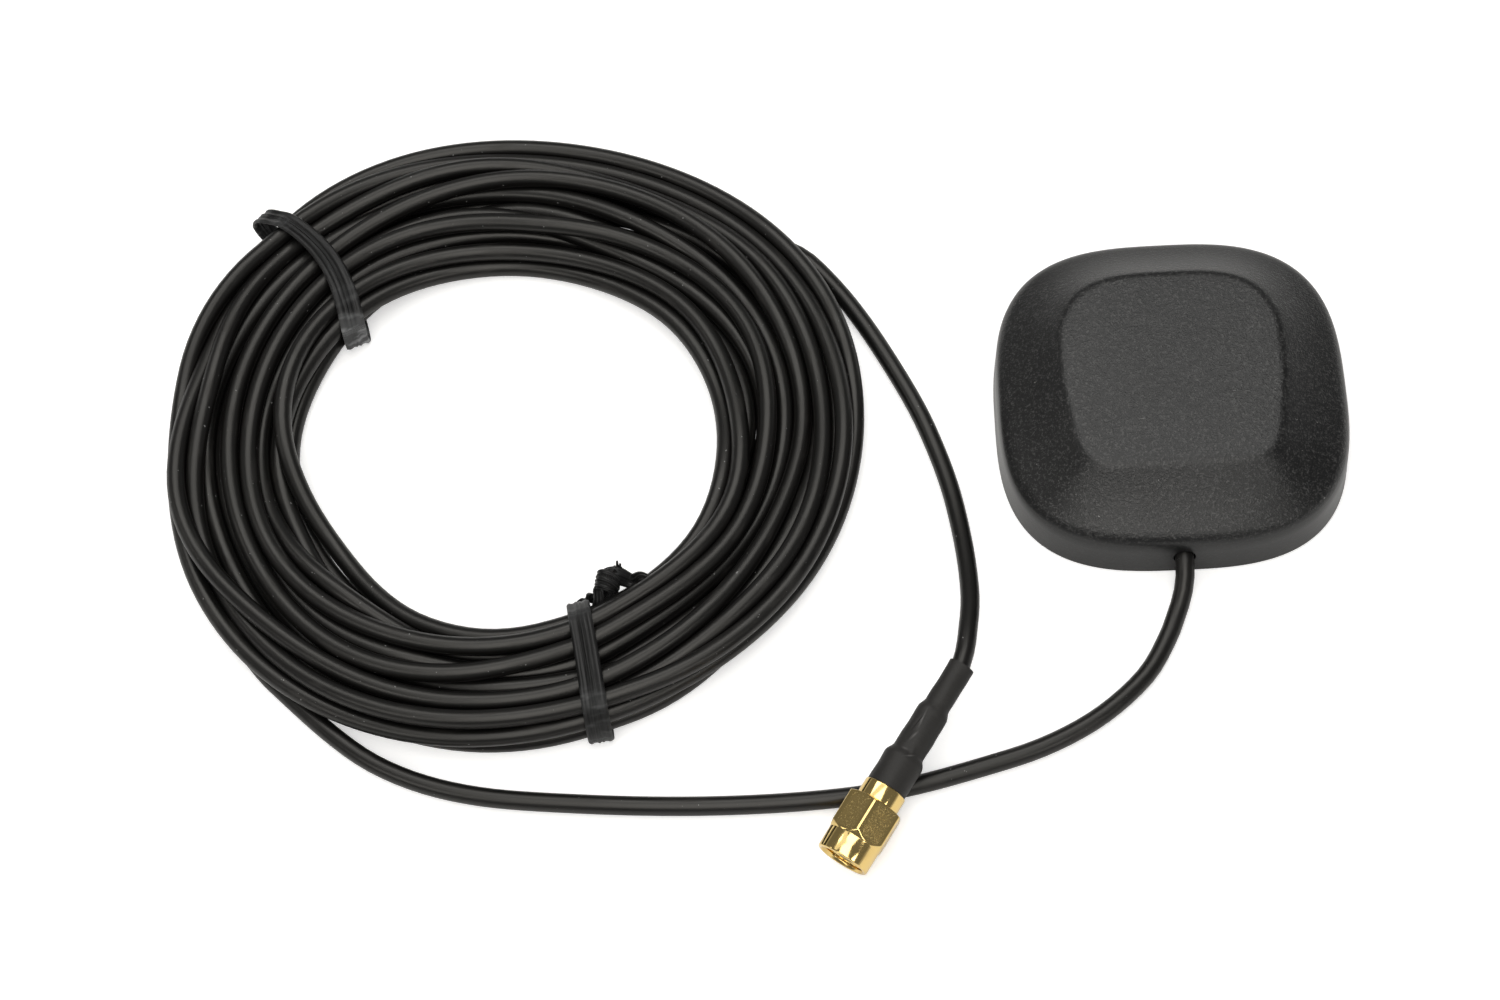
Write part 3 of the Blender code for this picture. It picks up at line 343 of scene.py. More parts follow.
def gold_plate(name, speckled):
    """Gold over turned brass: fine turning rings, or dull speckles on milled flats."""
    fin = Finish(name, {"Metallic": 1.0})
    spot = fin.millimetres()
    height = fin.part(spot, "Z")
    rings = fin.noise(fin.stretched(spot, (0.05, 0.05, 9.0)), 1.0, 2.0)
    cloud = fin.noise(spot, 0.5, 3.0)
    speckle = fin.noise(spot, 3.2, 3.0, 0.65).rise(0.50, 0.72)
    tarnish = cloud.rise(0.45, 0.75)
    colour = fin.mix(tarnish * 0.35, (0.87, 0.64, 0.25), (0.74, 0.50, 0.17))
    if speckled:
        across = (fin.part(spot, "X") ** 2 + fin.part(spot, "Y") ** 2) ** 0.5
        flats = height.rise(3.6, 3.9) * (1 - height.rise(8.9, 9.2)) * (1 - across.rise(4.24, 4.38))
        colour = fin.mix(speckle * flats * 0.45, colour, (0.46, 0.33, 0.13))
        rough = 0.11 + tarnish * 0.05 + flats * (0.06 + speckle * 0.18)
        relief = rings * (1 - flats) * 0.10 + speckle * flats * 0.22
    else:
        rough = 0.11 + tarnish * 0.06
        relief = rings * 0.12 + speckle * 0.03
    return fin.wear(base_color=colour, roughness=rough, normal=fin.bump(relief, 0.012, 0.5))


def plain_moulding(name, dark, light, rough, per_mm=1.2, depth=0.02, specular=0.5):
    """A moulded or fired surface: a cloudy colour over a fine grain."""
    fin = Finish(name, {"Specular IOR Level": specular})
    spot = fin.millimetres()
    cloud = fin.noise(spot, 0.25, 3.0)
    grain = fin.noise(spot, per_mm * 4, 3.0)
    colour = fin.mix(cloud, dark, light)
    return fin.wear(base_color=colour, roughness=rough + cloud * 0.12, normal=fin.bump(grain, depth, 0.6))


def plated_metal(name, bright, dull, rough, stretch=(0.4, 6.0, 6.0)):
    """A rolled or plated metal with a drawn grain and dull clouds."""
    fin = Finish(name, {"Metallic": 1.0})
    spot = fin.millimetres()
    drawn = fin.noise(fin.stretched(spot, stretch), 1.0, 3.0)
    cloud = fin.noise(spot, 0.4, 3.0).rise(0.4, 0.8)
    colour = fin.mix(cloud * 0.6, bright, dull)
    return fin.wear(base_color=colour, roughness=rough + drawn * 0.15, normal=fin.bump(drawn, 0.01, 0.4))


def solder_mask():
    """Green solder mask over copper tracks that run in two directions."""
    fin = Finish("green_board", {"Specular IOR Level": 0.5})
    spot = fin.millimetres()
    across = (fin.part(spot, "X") * 4.2).wave().rise(0.3, 0.6)
    along = (fin.part(spot, "Y") * 3.1).wave().rise(0.5, 0.7)
    area = fin.noise(spot, 0.12, 1.0).rise(0.48, 0.52)
    tracks = across * area + along * (1 - area)
    colour = fin.mix(tracks, (0.012, 0.085, 0.032), (0.03, 0.17, 0.06))
    return fin.wear(base_color=colour, roughness=0.32 + tracks * 0.1, normal=fin.bump(tracks, 0.03, 0.6))


# Moulded and fired finishes: dark and light colour, roughness, then grain per mm, depth and specular
MOULDED = {
    "base_plastic": (grey(0.02), grey(0.035), 0.5),
    "black_rubber": (grey(0.012), grey(0.024), 0.68, 0.8, 0.05, 0.35),
    "white_tape": (grey(0.62, 0.02), grey(0.76, 0.02), 0.6, 0.7, 0.03),
    "cream_ceramic": ((0.50, 0.44, 0.33), (0.64, 0.57, 0.45), 0.42, 1.5, 0.02),
    "black_chip": (grey(0.012), grey(0.024), 0.5, 2.5, 0.02),
    "white_insulator": (grey(0.66, 0.02), grey(0.80, 0.02), 0.35, 0.6, 0.01),
    "red_silicone": ((0.36, 0.04, 0.02), (0.52, 0.09, 0.05), 0.45, 0.6, 0.02),
}
# Plated and rolled metals: bright and dull colour, roughness, then the grain's stretch
PLATED = {
    "zinc_steel": ((0.62, 0.63, 0.65), (0.45, 0.45, 0.47), 0.25),
    "nickel_magnet": ((0.60, 0.58, 0.55), (0.48, 0.46, 0.43), 0.18, (1, 1, 1)),
    "tinned_steel": ((0.68, 0.68, 0.68), (0.55, 0.55, 0.56), 0.22),
    "bare_copper": ((0.80, 0.42, 0.22), (0.55, 0.27, 0.14), 0.25, (1, 1, 5)),
}
FINISHES = {
    "cover_plastic": cover_plastic(),
    "black_jacket": black_jacket(),
    "tie_plastic": tie_plastic(),
    "shrink_tube": shrink_tube(),
    "gold_plate": gold_plate("gold_plate", False),
    "gold_nut": gold_plate("gold_nut", True),
    "green_board": solder_mask(),
}
FINISHES.update({name: plain_moulding(name, *values) for name, values in MOULDED.items()})
FINISHES.update({name: plated_metal(name, *values) for name, values in PLATED.items()})


# Shapes

def add_piece(name, mesh, finish, body="antenna", place=None):
    """An object in the scene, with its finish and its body."""
    thing = bpy.data.objects.new(name, mesh)
    bpy.context.scene.collection.objects.link(thing)
    mesh.materials.clear()
    mesh.materials.append(FINISHES[finish])
    if place:
        thing.matrix_world = place
    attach(thing, body)
    return thing


def skin(name, rows, closed=False, runs=None, bent=None):
    """A mesh through rows of points in mm: a tube's rings, or the sections of a closed ring.

    Runs are the points' places along the piece, and bent is how lightened each row or point is: whitened on
    the ties, a painted highlight on the sleeve's creases.
    """
    rows = np.asarray(rows, float)
    count, sides = rows.shape[:2]
    ring = np.arange(sides)
    following = (ring + 1) % sides
    faces = []
    for row in range(count if closed else count - 1):
        a = row * sides
        b = (row + 1) % count * sides
        faces += np.stack((a + ring, a + following, b + following, b + ring), 1).tolist()
    if not closed:
        faces.append(ring[::-1].tolist())
        faces.append((ring + (count - 1) * sides).tolist())
    mesh = bpy.data.meshes.new(name)
    mesh.from_pydata((rows.reshape(-1, 3) * MM).tolist(), [], faces)
    if runs is not None:
        run = mesh.attributes.new("run", 'FLOAT_VECTOR', 'POINT')
        run.data.foreach_set("vector", np.asarray(runs, np.float32).ravel())
    if bent is not None:
        bent = np.asarray(bent, np.float32)
        lightened = mesh.attributes.new("bent", 'FLOAT', 'POINT')
        lightened.data.foreach_set("value", np.repeat(bent, sides) if bent.ndim == 1 else bent.ravel())
    settle(mesh)
    return mesh


def settle(mesh, sharp=35.0):
    """Turn the faces outward and shade them smooth, with sharp edges kept."""
    bm = bmesh.new()
    bm.from_mesh(mesh)
    bmesh.ops.recalc_face_normals(bm, faces=bm.faces)
    bm.to_mesh(mesh)
    bm.free()
    mesh.shade_smooth()
    mesh.set_sharp_from_angle(angle=math.radians(sharp))


def circle(steps):
    """Angles at even steps round a circle."""
    return np.linspace(0, 2 * np.pi, steps, endpoint=False)


def disc(radius, steps):
    """Points round a circle in a plane."""
    return np.stack((np.cos(circle(steps)), np.sin(circle(steps))), 1) * radius


def hoop(radius, angle, z):
    """Points round Z at one height. The radius is one number, or one for each angle."""
    return np.stack((radius * np.cos(angle), radius * np.sin(angle), np.full(len(angle), z)), 1)


def turned_rows(profile, steps):
    """Rings of a profile of radius and length along Z."""
    return [hoop(radius, circle(steps), z) for radius, z in profile]


def curve_over(start, corner, end, t):
    """A curve from start to end that a corner draws towards itself."""
    return start * (1 - t) ** 2 + corner * 2 * t * (1 - t) + end * t * t


def between(a, b, c, d, t):
    """A smooth curve from b to c, which comes from a and goes on to d."""
    return 0.5 * (2 * b + (c - a) * t + (2 * a - 5 * b + 4 * c - d) * t ** 2
                  + (3 * b - a - 3 * c + d) * t ** 3)


def unit(vectors):
    """Vectors at length 1."""
    return vectors / np.linalg.norm(vectors, axis=-1, keepdims=True)


def lengths_along(points):
    """How far along a line each of its points lies."""
    return np.concatenate(([0], np.cumsum(np.linalg.norm(np.diff(points, axis=0), axis=1))))


def rounded(profile, radii, arc=4):
    """A closed profile with each corner rounded by its own radius."""
    points = []
    count = len(profile)
    for index in range(count):
        corner = Vector(profile[index])
        before = Vector(profile[index - 1]) - corner
        after = Vector(profile[(index + 1) % count]) - corner
        radius = min(radii[index], before.length * 0.45, after.length * 0.45)
        start = corner + before.normalized() * radius
        end = corner + after.normalized() * radius
        points += [tuple(curve_over(start, corner, end, step / arc)) for step in range(arc + 1)]
    return points


def cut(target, tool, operation='DIFFERENCE'):
    """A Boolean with another mesh, applied at once."""
    helper = bpy.data.objects.new("tool", tool)
    bpy.context.scene.collection.objects.link(helper)
    thing = bpy.data.objects.new("target", target)
    bpy.context.scene.collection.objects.link(thing)
    boolean = thing.modifiers.new("cut", 'BOOLEAN')
    boolean.operation = operation
    boolean.object = helper
    bpy.context.view_layer.update()
    result = bpy.data.meshes.new_from_object(thing.evaluated_get(bpy.context.evaluated_depsgraph_get()))
    bpy.data.objects.remove(thing)
    bpy.data.objects.remove(helper)
    return result


def rods(places, radius, low, high, turn=None, sides=48):
    """Upright rods at several places, as one tool. Lengths are in mm."""
    bm = bmesh.new()
    for x, y in places:
        matrix = Matrix.Translation(Vector((x, y, (low + high) / 2)) * MM)
        if turn:
            matrix = turn @ matrix
        bmesh.ops.create_cone(bm, cap_ends=True, segments=sides, radius1=radius * MM,
                              radius2=radius * MM, depth=(high - low) * MM, matrix=matrix)
    mesh = bpy.data.meshes.new("rods")
    bm.to_mesh(mesh)
    bm.free()
    return mesh


def smooth_way(points, step):
    """A smooth curve through points, read off at even steps. Lengths are in mm."""
    points = np.asarray(points, float)
    padded = np.vstack((2 * points[0] - points[1], points, 2 * points[-1] - points[-2]))
    t = np.linspace(0, 1, 16, endpoint=False)[:, None]
    fine = [between(*padded[index:index + 4], t) for index in range(len(points) - 1)]
    fine = np.vstack(fine + [points[-1:]])
    walked = lengths_along(fine)
    even = np.linspace(0, walked[-1], max(2, round(walked[-1] / step)) + 1)
    return np.stack([np.interp(even, walked, fine[:, axis]) for axis in range(3)], 1)


def carried_frames(way):
    """Two directions across a way at each of its points, carried along without twist."""
    ahead = unit(np.gradient(way, axis=0))
    side = np.cross(ahead[0], (0, 0, 1.0))
    sides = []
    for direction in ahead:
        side = unit(side - direction * (side @ direction))
        sides.append(side)
    return np.array(sides), np.cross(ahead, sides)


def swept(way, section, side, up):
    """A section across and up, swept along a way. Gives its rows, and each point's place along it."""
    section = np.asarray(section, float)
    if section.ndim == 2:
        section = np.repeat(section[None], len(way), 0)
    rows = way[:, None] + side[:, None] * section[:, :, :1] + up[:, None] * section[:, :, 1:]
    walked = np.repeat(lengths_along(way)[:, None, None], section.shape[1], 1)
    return rows, np.concatenate((walked, section), 2)


# Lead

def around(values, degrees):
    """Values that stand evenly round a circle, read smoothly at any angle in degrees."""
    values = np.asarray(values, float)
    place = np.asarray(degrees) % 360 / 360 * len(values)
    index = np.floor(place).astype(int)
    neighbours = (values[(index + shift) % len(values)] for shift in (-1, 0, 1, 2))
    return between(*neighbours, place - index)


# The coil's outer and inner edge from its middle, every 30 degrees from +X
COIL_OUTER = (54.6, 55.2, 53.9, 54.4, 55.6, 54.0, 52.0, 52.6, 52.6, 51.6, 51.4, 53.0)
COIL_INNER = (32.0, 30.8, 29.6, 30.4, 31.2, 31.8, 32.2, 31.6, 32.8, 33.4, 33.0, 33.8)
# One turn swings loose inside the others: which, for how much of a turn, and how far
LOOSE_TURN = 5.05
LOOSE_SPREAD = 0.11
LOOSE_REACH = 2.4
# Turns that each crossing of the coil takes, outward to inward and back
CROSSINGS = (5.2, 3.9, 4.9, 3.6)
# How the turns wander beside that: share of the coil's width, times per turn and phase
WANDER = ((0.09, 0.37, 1.3), (0.06, 0.83, 0.4))
# The turns fall from this height and stay under the roof. A tie lifts the lowest turns and presses
# the highest ones down, within a few degrees of it
DROP_HEIGHT = 26
COIL_ROOF = 7.3
TIE_LIFT = 0.75
TIE_PRESS = 0.5
TIE_SPREAD = 7
# Part of a turn at each end of the coil that is held to its place
END_TURNS = 0.35
SETTLING_ROUNDS = 1500
# In each round: how far the turns fall, how strongly they are drawn to their lanes, how strongly the
# loose stretch and the ends are held in their places and down, and how hard near turns push apart
FALL = 0.05
LANE_PULL = 0.004
PLACE_PULL = 0.05
DOWN_PULL = 0.2
PUSH = 0.225


def coil_way():
    """The turns of the coil, laid down and settled on each other like real ones.

    Each turn is a row, and each station a place round the coil. Out and up are where the lead is.
    """
    turns = COIL_TURNS + (COIL_START - COIL_FINISH) / 360
    count = round(turns * STATIONS) + 1
    rows = math.ceil(count / STATIONS)
    turn = np.arange(rows * STATIONS) / STATIONS
    degrees = COIL_START - 360 * turn
    live = (np.arange(rows * STATIONS) < count).reshape(rows, STATIONS)
    radius = LEAD_DIAMETER / 2
    high = (around(COIL_OUTER, degrees) - radius).reshape(rows, STATIONS)
    low = (around(COIL_INNER, degrees) + radius).reshape(rows, STATIONS)
    lane = np.interp(turn, np.cumsum((0,) + CROSSINGS), (1, 0, 1, 0, 1))
    lane += sum(size * np.sin(2 * np.pi * times * turn + phase) for size, times, phase in WANDER)
    lane = np.clip(lane, 0, 1).reshape(rows, STATIONS)
    loose = np.exp(-((turn - LOOSE_TURN) / LOOSE_SPREAD) ** 2).reshape(rows, STATIONS)
    low = low - LOOSE_REACH * loose
    home = low + (high - low) * lane
    home = home + (low - home) * loose
    out = home.copy()
    up = radius + DROP_HEIGHT * np.sin(np.pi * np.clip(turn / turns, 0, 1)).reshape(rows, STATIONS)
    tied = np.zeros(len(turn))
    for angle, _ in (FRONT_TIE, REAR_TIE):
        away = (degrees - angle + 180) % 360 - 180
        tied = np.maximum(tied, np.exp(-(away / TIE_SPREAD) ** 2))
    tied = tied.reshape(rows, STATIONS)
    floor = radius + TIE_LIFT * tied
    roof = np.maximum(COIL_ROOF - TIE_PRESS * tied, floor)
    ends = np.maximum(1 - turn / END_TURNS, 1 - (turns - turn) / END_TURNS).clip(0, 1)
    ends = ends.reshape(rows, STATIONS)
    pairs = live[:, None] & live[None] & ~np.eye(rows, dtype=bool)[:, :, None]

    def ironed(values):
        """Each point moved half the way onto its neighbours' curve, as a stiff lead lies."""
        line = values.reshape(-1)[:count]
        even = line.copy()
        even[2:-2] += 0.5 * ((-line[:-4] + 4 * line[1:-3] + 4 * line[3:-1] - line[4:]) / 6 - line[2:-2])
        even[1] = (line[1] + (line[0] + line[2]) / 2) / 2
        even[-2] = (line[-2] + (line[-3] + line[-1]) / 2) / 2
        full = values.reshape(-1).copy()
        full[:count] = even
        return full.reshape(values.shape)

    for index in range(SETTLING_ROUNDS):
        # The turns fall at first, and until near the end they are drawn to their lanes
        if index < 0.85 * SETTLING_ROUNDS:
            up = up - FALL
        if index < 0.9 * SETTLING_ROUNDS:
            out = out + LANE_PULL * (home - out)
        # The loose stretch and both ends keep to their places
        out = out + PLACE_PULL * (loose + ends) * (home - out)
        up = up + DOWN_PULL * ends * (floor - up)
        for _ in range(2):
            out = ironed(out)
            up = ironed(up)
        # Turns that are nearer than one diameter push each other apart
        for _ in range(3):
            across = out[:, None] - out[None]
            above = up[:, None] - up[None]
            apart = np.sqrt(across ** 2 + above ** 2) + 1e-9
            push = PUSH * (LEAD_DIAMETER - apart).clip(0) * pairs / apart
            out = (out + (push * across).sum(1)).clip(low, high)
            up = up + (push * above).sum(1)
            if index > 0.7 * SETTLING_ROUNDS:
                up = np.minimum(up, roof)
            up = np.maximum(up, floor)
    angle = np.radians(degrees)[:count]
    out = out.reshape(-1)[:count]
    return np.stack((COIL_X + out * np.cos(angle), out * np.sin(angle), up.reshape(-1)[:count]), 1)


def lead_way(sleeve_end, axis):
    """The whole lead: out of the puck, along the table, round the coil and into the sleeve."""
    start = [(0, y, EXIT_HEIGHT) for y in (JACKET_START, (JACKET_START - PUCK_HALF) / 2, -PUCK_HALF)]
    start += [(-0.15, -28.8, 3.6), (-0.4, -30.5, 2.9), (-0.95, -32.3, 2.25), (-1.9, -34.6, 1.7)]
    flat = [
        (-3.4, -38.0), (-7.0, -43.7), (-13.6, -49.5), (-21.4, -53.7), (-30.1, -56.5), (-43.1, -59.6),
        (-56.0, -60.9), (-72.0, -61.0), (-89.0, -59.9), (-104.5, -57.9), (-116.0, -54.0),
        (-125.2, -47.7),
    ]
    start += [(x, y, LEAD_DIAMETER / 2) for x, y in flat]
    rise = [
        (-55.3, 31.4, 1.4), (-51.6, 27.4, 1.4), (-47.6, 21.7, 1.4), (-43.2, 13.8, 1.4), (-38.3, 3.4, 1.4),
        (-35.6, -4.2, 1.5), (-33.7, -11.4, 2.0), (-32.5, -18.8, 3.0), (-31.8, -26.2, 4.5),
        (-31.7, -32.6, 6.2), (-32.2, -37.2, 7.4), (-32.65, -40.4, 8.1),
    ]
    rise += [tuple(sleeve_end + axis * 0.5), tuple(sleeve_end - axis * 1.7), tuple(sleeve_end - axis * 8.1)]
    coil = coil_way()
    way = np.vstack((
        smooth_way(np.vstack((start, coil[3:7])), 2.5)[:-4],
        coil[7:-7],
        smooth_way(np.vstack((coil[-7:-3], rise)), 2.5)[4:],
    ))
    # Any sharp bend is eased
    for _ in range(6):
        off_line = np.linalg.norm(way[1:-1] - (way[:-2] + way[2:]) / 2, axis=1)
        bent = np.where(off_line > SHARP_BEND)[0] + 1
        way[bent] = (way[bent - 1] + way[bent] * 2 + way[bent + 1]) / 4
    way = smooth_way(way, 2.1)
    way[:, 2] = np.maximum(way[:, 2], LEAD_DIAMETER / 2)
    return way


def make_lead(axis, sleeve_end):
    """The lead as one round tube. Gives its way too, which the ties lie on."""
    way = lead_way(sleeve_end, axis)
    rows, runs = swept(way, disc(LEAD_DIAMETER / 2, LEAD_SIDES), *carried_frames(way))
    lead = add_piece("coax_lead", skin("coax_lead", rows, runs=runs), "black_jacket")
    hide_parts("antenna_lead", "cable_coil", "connector_lead")
    return lead, way


# Ties

# Ridges along a ribbon: place and width in half widths, and height
RIDGES = ((-0.80, 0.17, 0.9), (-0.16, 0.12, 1.0), (0.16, 0.09, 0.75), (0.70, 0.24, 0.9))


def bell(value, middle, width):
    """1 at the middle, and less and less away from it."""
    return np.exp(-((value - middle) / width) ** 2)


def ribbon_section(width, thickness, points=34):
    """Half a section over and half under: a thin ribbon with ridges along it."""
    across = np.linspace(-1, 1, points)
    ridge = sum(tall * bell(across, place, wide) for place, wide, tall in RIDGES)
    edge = (1 - np.abs(across) ** 8) ** 0.5
    lift = thickness / 2 * (0.35 + 0.65 * ridge) * edge + 0.02
    over = np.stack((across * width / 2, lift), 1)
    under = np.stack((across[::-1] * width / 2, -lift[::-1]), 1)
    return np.vstack((over, under))


def outline_round(points):
    """The convex outline round a set of points in a plane."""
    points = sorted(map(tuple, points))

    def half(run):
        kept = []
        for point in run:
            while len(kept) > 1:
                (ax, ay), (bx, by) = kept[-2:]
                if (bx - ax) * (point[1] - ay) - (by - ay) * (point[0] - ax) > 0:
                    break
                kept.pop()
            kept.append(point)
        return kept[:-1]
    return np.array(half(points) + half(points[::-1]))


def even_loop(loop, step, softness):
    """A closed outline read at even steps and softened."""
    closed = np.vstack((loop, loop[:1]))
    walked = lengths_along(closed)
    even = np.linspace(0, walked[-1], round(walked[-1] / step), endpoint=False)
    loop = np.stack([np.interp(even, walked, closed[:, axis]) for axis in range(2)], 1)
    for _ in range(softness):
        loop = (np.roll(loop, 1, 0) + 2 * loop + np.roll(loop, -1, 0)) / 4
    return loop


def headings(loop):
    """Which way a closed outline runs at each of its points."""
    return unit(np.roll(loop, -1, 0) - np.roll(loop, 1, 0))


def outward(loop):
    """Which way a closed outline faces at each of its points."""
    ahead = headings(loop)
    return np.stack((ahead[:, 1], -ahead[:, 0]), 1)


def strands_in_band(way, middle, along, across, bow):
    """Where the lead crosses the band's middle line and two lines beside it: places along it and up."""
    found = []
    reaches = (way - middle) @ along
    bowed = (way - middle) @ across - bow * (1 - (reaches / TIE_REACH) ** 2)
    for shift in (-TIE_LINES, 0.0, TIE_LINES):
        side = bowed - shift
        for index in np.where(side[:-1] * side[1:] < 0)[0]:
            share = side[index] / (side[index] - side[index + 1])
            point = way[index] * (1 - share) + way[index + 1] * share
            reach = (point - middle) @ along
            if abs(reach) < TIE_REACH + 3:
                found.append((reach, point[2]))
    return found


def tie_band(way, angle, slant, slack, lean, bow):
    """A ribbon round the strands where the tie is. Gives its rows, and where each lies across the coil.

    Each slack is a place across and up, how far the band stands off there, and over what reach.
    The bow is how far its middle lies beside a straight line.
    """
    heading = math.radians(angle)
    middle = np.array((math.cos(heading), math.sin(heading), 0)) * COIL_MIDDLE + (COIL_X, COIL_Y, 0)
    turn = heading + math.radians(slant)
    along = np.array((math.cos(turn), math.sin(turn), 0))
    across = np.array((-math.sin(turn), math.cos(turn), 0))
    rim = disc(LEAD_DIAMETER / 2 + TIE_CLEARANCE, 16)
    strands = strands_in_band(way, middle, along, across, bow)
    loop = even_loop(outline_round(np.vstack([rim + strand for strand in strands])), 0.45, 6)
    stand_off = np.full(len(loop), TIE_THICKNESS * 0.55)
    for place, height, far, wide in slack:
        edge = loop[:, 0].max() if place > 0 else loop[:, 0].min()
        stand_off += far * np.exp(-((loop[:, 0] - edge) ** 2 + (loop[:, 1] - height) ** 2) / wide ** 2)
    loop = loop + outward(loop) * stand_off[:, None]
    ahead = headings(loop)
    bent = np.linalg.norm(np.roll(ahead, -2, 0) - np.roll(ahead, 2, 0), axis=1)
    out = outward(loop)
    place = loop[:, :1]
    centre = middle + place * along + loop[:, 1:] * (0, 0, 1) + across * bow * (1 - (place / TIE_REACH) ** 2)
    centre[:, 2] = np.maximum(centre[:, 2], TIE_THICKNESS / 2 + 0.06)
    side = unit(across + along * 2 * bow * place / TIE_REACH ** 2 * np.abs(out[:, 1:]))
    normal = out[:, :1] * along + out[:, 1:] * (0, 0, 1)
    normal = unit(normal - side * (normal * side).sum(1)[:, None])
    # The band leans where it lies on top of the coil
    upper = (out[:, 1] > 0.3)[:, None]
    tip = np.radians(lean) * np.where(upper, out[:, 1:], 0)
    side, normal = side * np.cos(tip) + normal * np.sin(tip), normal * np.cos(tip) - side * np.sin(tip)
    centre = centre + normal * np.abs(np.sin(tip)) * TIE_LINES
    # The fold at the coil's inner edge is whitened most
    share = loop[:, 0] / TIE_REACH
    lightened = (bent * 1.3).clip(0, 1) * (1 + 2.0 * bell(share, share.min(), 0.20))
    return centre, side, normal, lightened, share


def ribbon_piece(name, centre, side, normal, width, bent, closed=False):
    """A ribbon along a way. The width is one number, or one for each row."""
    width = np.broadcast_to(width, len(centre))
    sections = [ribbon_section(value, TIE_THICKNESS) for value in width]
    rows, runs = swept(centre, sections, side, normal)
    return skin(name, rows, closed=closed, runs=runs, bent=np.broadcast_to(bent, len(centre)))


def joined(name, meshes):
    """One mesh of several, which keep their attributes."""
    things = []
    for mesh in meshes:
        thing = bpy.data.objects.new(name, mesh)
        bpy.context.scene.collection.objects.link(thing)
        things.append(thing)
    with bpy.context.temp_override(active_object=things[0], selected_editable_objects=things):
        bpy.ops.object.join()
    mesh = things[0].data
    bpy.data.objects.remove(things[0])
    return mesh


def crossed_frames(way, upward):
    """Directions across a way and off it, for a ribbon that faces upward."""
    ahead = unit(np.gradient(way, axis=0))
    side = unit(np.cross(ahead, upward))
    return side, np.cross(side, ahead)


def twisted_end(line, turns, phase, reach):
    """One of the two ribbon ends that are twisted round each other along a line."""
    share = np.linspace(0, 1, len(line))[:, None]
    flat, upward = crossed_frames(line, (0, 0, 1.0))
    angle = 2 * np.pi * turns * share + phase
    out = flat * np.cos(angle) + upward * np.sin(angle)
    over = -flat * np.sin(angle) + upward * np.cos(angle)
    return line + out * np.interp(share, (0, 0.25, 0.7, 1), reach), over, out


def top_of_turns(way, x, y):
    """How high the lead's turns reach at a place."""
    near = way[np.hypot(way[:, 0] - x, way[:, 1] - y) < LEAD_DIAMETER / 2]
    return near[:, 2].max() + LEAD_DIAMETER / 2 if len(near) else 0.0


# The front tie's twisted ends, from the band into the knob, and the flat tail beyond it
TWIST_WAY = ((-89.4, -30.6, 4.7), (-88.0, -30.1, 4.9), (-86.8, -29.3, 5.0), (-85.4, -27.8, 5.0),
             (-84.8, -26.2, 5.1))
TAIL_WAY = ((-85.1, -26.3, 6.2), (-84.1, -25.9, 6.3), (-82.9, -25.8, 5.6), (-81.3, -26.1, 4.6),
            (-79.9, -26.4, 3.9), (-78.8, -26.7, 3.4))
# Where one end was cut, and the strands that are left there: lean across and along, and length
SNIPPED_END = (-83.2, -25.0, 5.8)
BRISTLES = ((-0.35, 0.7, 1.1), (-0.05, 0.9, 1.6), (0.25, 0.8, 1.3), (0.4, 0.6, 0.9))
KNOB_START = np.array((-85.2, -28.1, 5.0))
KNOB_AXIS = np.array((0.25, 0.95, 0.15))
KNOB_LENGTH = 3.1
# Windings of the knob: turns, phase, how far out, and how much each leans
KNOB_WRAPS = ((2.1, 0.4, 1.55, 0.40), (1.7, 2.9, 1.46, -0.35))


def wrapped_ribbon(turns, phase, reach, lean):
    """A ribbon wound round the knob, which is widest in its middle."""
    share = np.linspace(0, 1, 90)[:, None]
    axis = unit(KNOB_AXIS)
    flat = unit(np.cross(axis, (0, 0, 1.0)))
    upward = np.cross(flat, axis)
    angle = 2 * np.pi * turns * share + phase
    out = flat * np.cos(angle) + upward * np.sin(angle)
    over = upward * np.cos(angle) - flat * np.sin(angle)
    full = reach * (0.78 + 0.24 * np.sin(np.pi * share)) * (1 + 0.06 * np.sin(2.3 * angle))
    centre = KNOB_START + axis * (KNOB_LENGTH * share + lean * np.sin(angle)) + out * full
    width = np.interp(share[:, 0], (0, 0.2, 0.8, 1), (1.1, 2.0, 1.9, 1.2))
    return ribbon_piece("wrap", centre, unit(axis - over * 0.25), out, width, 0.1)


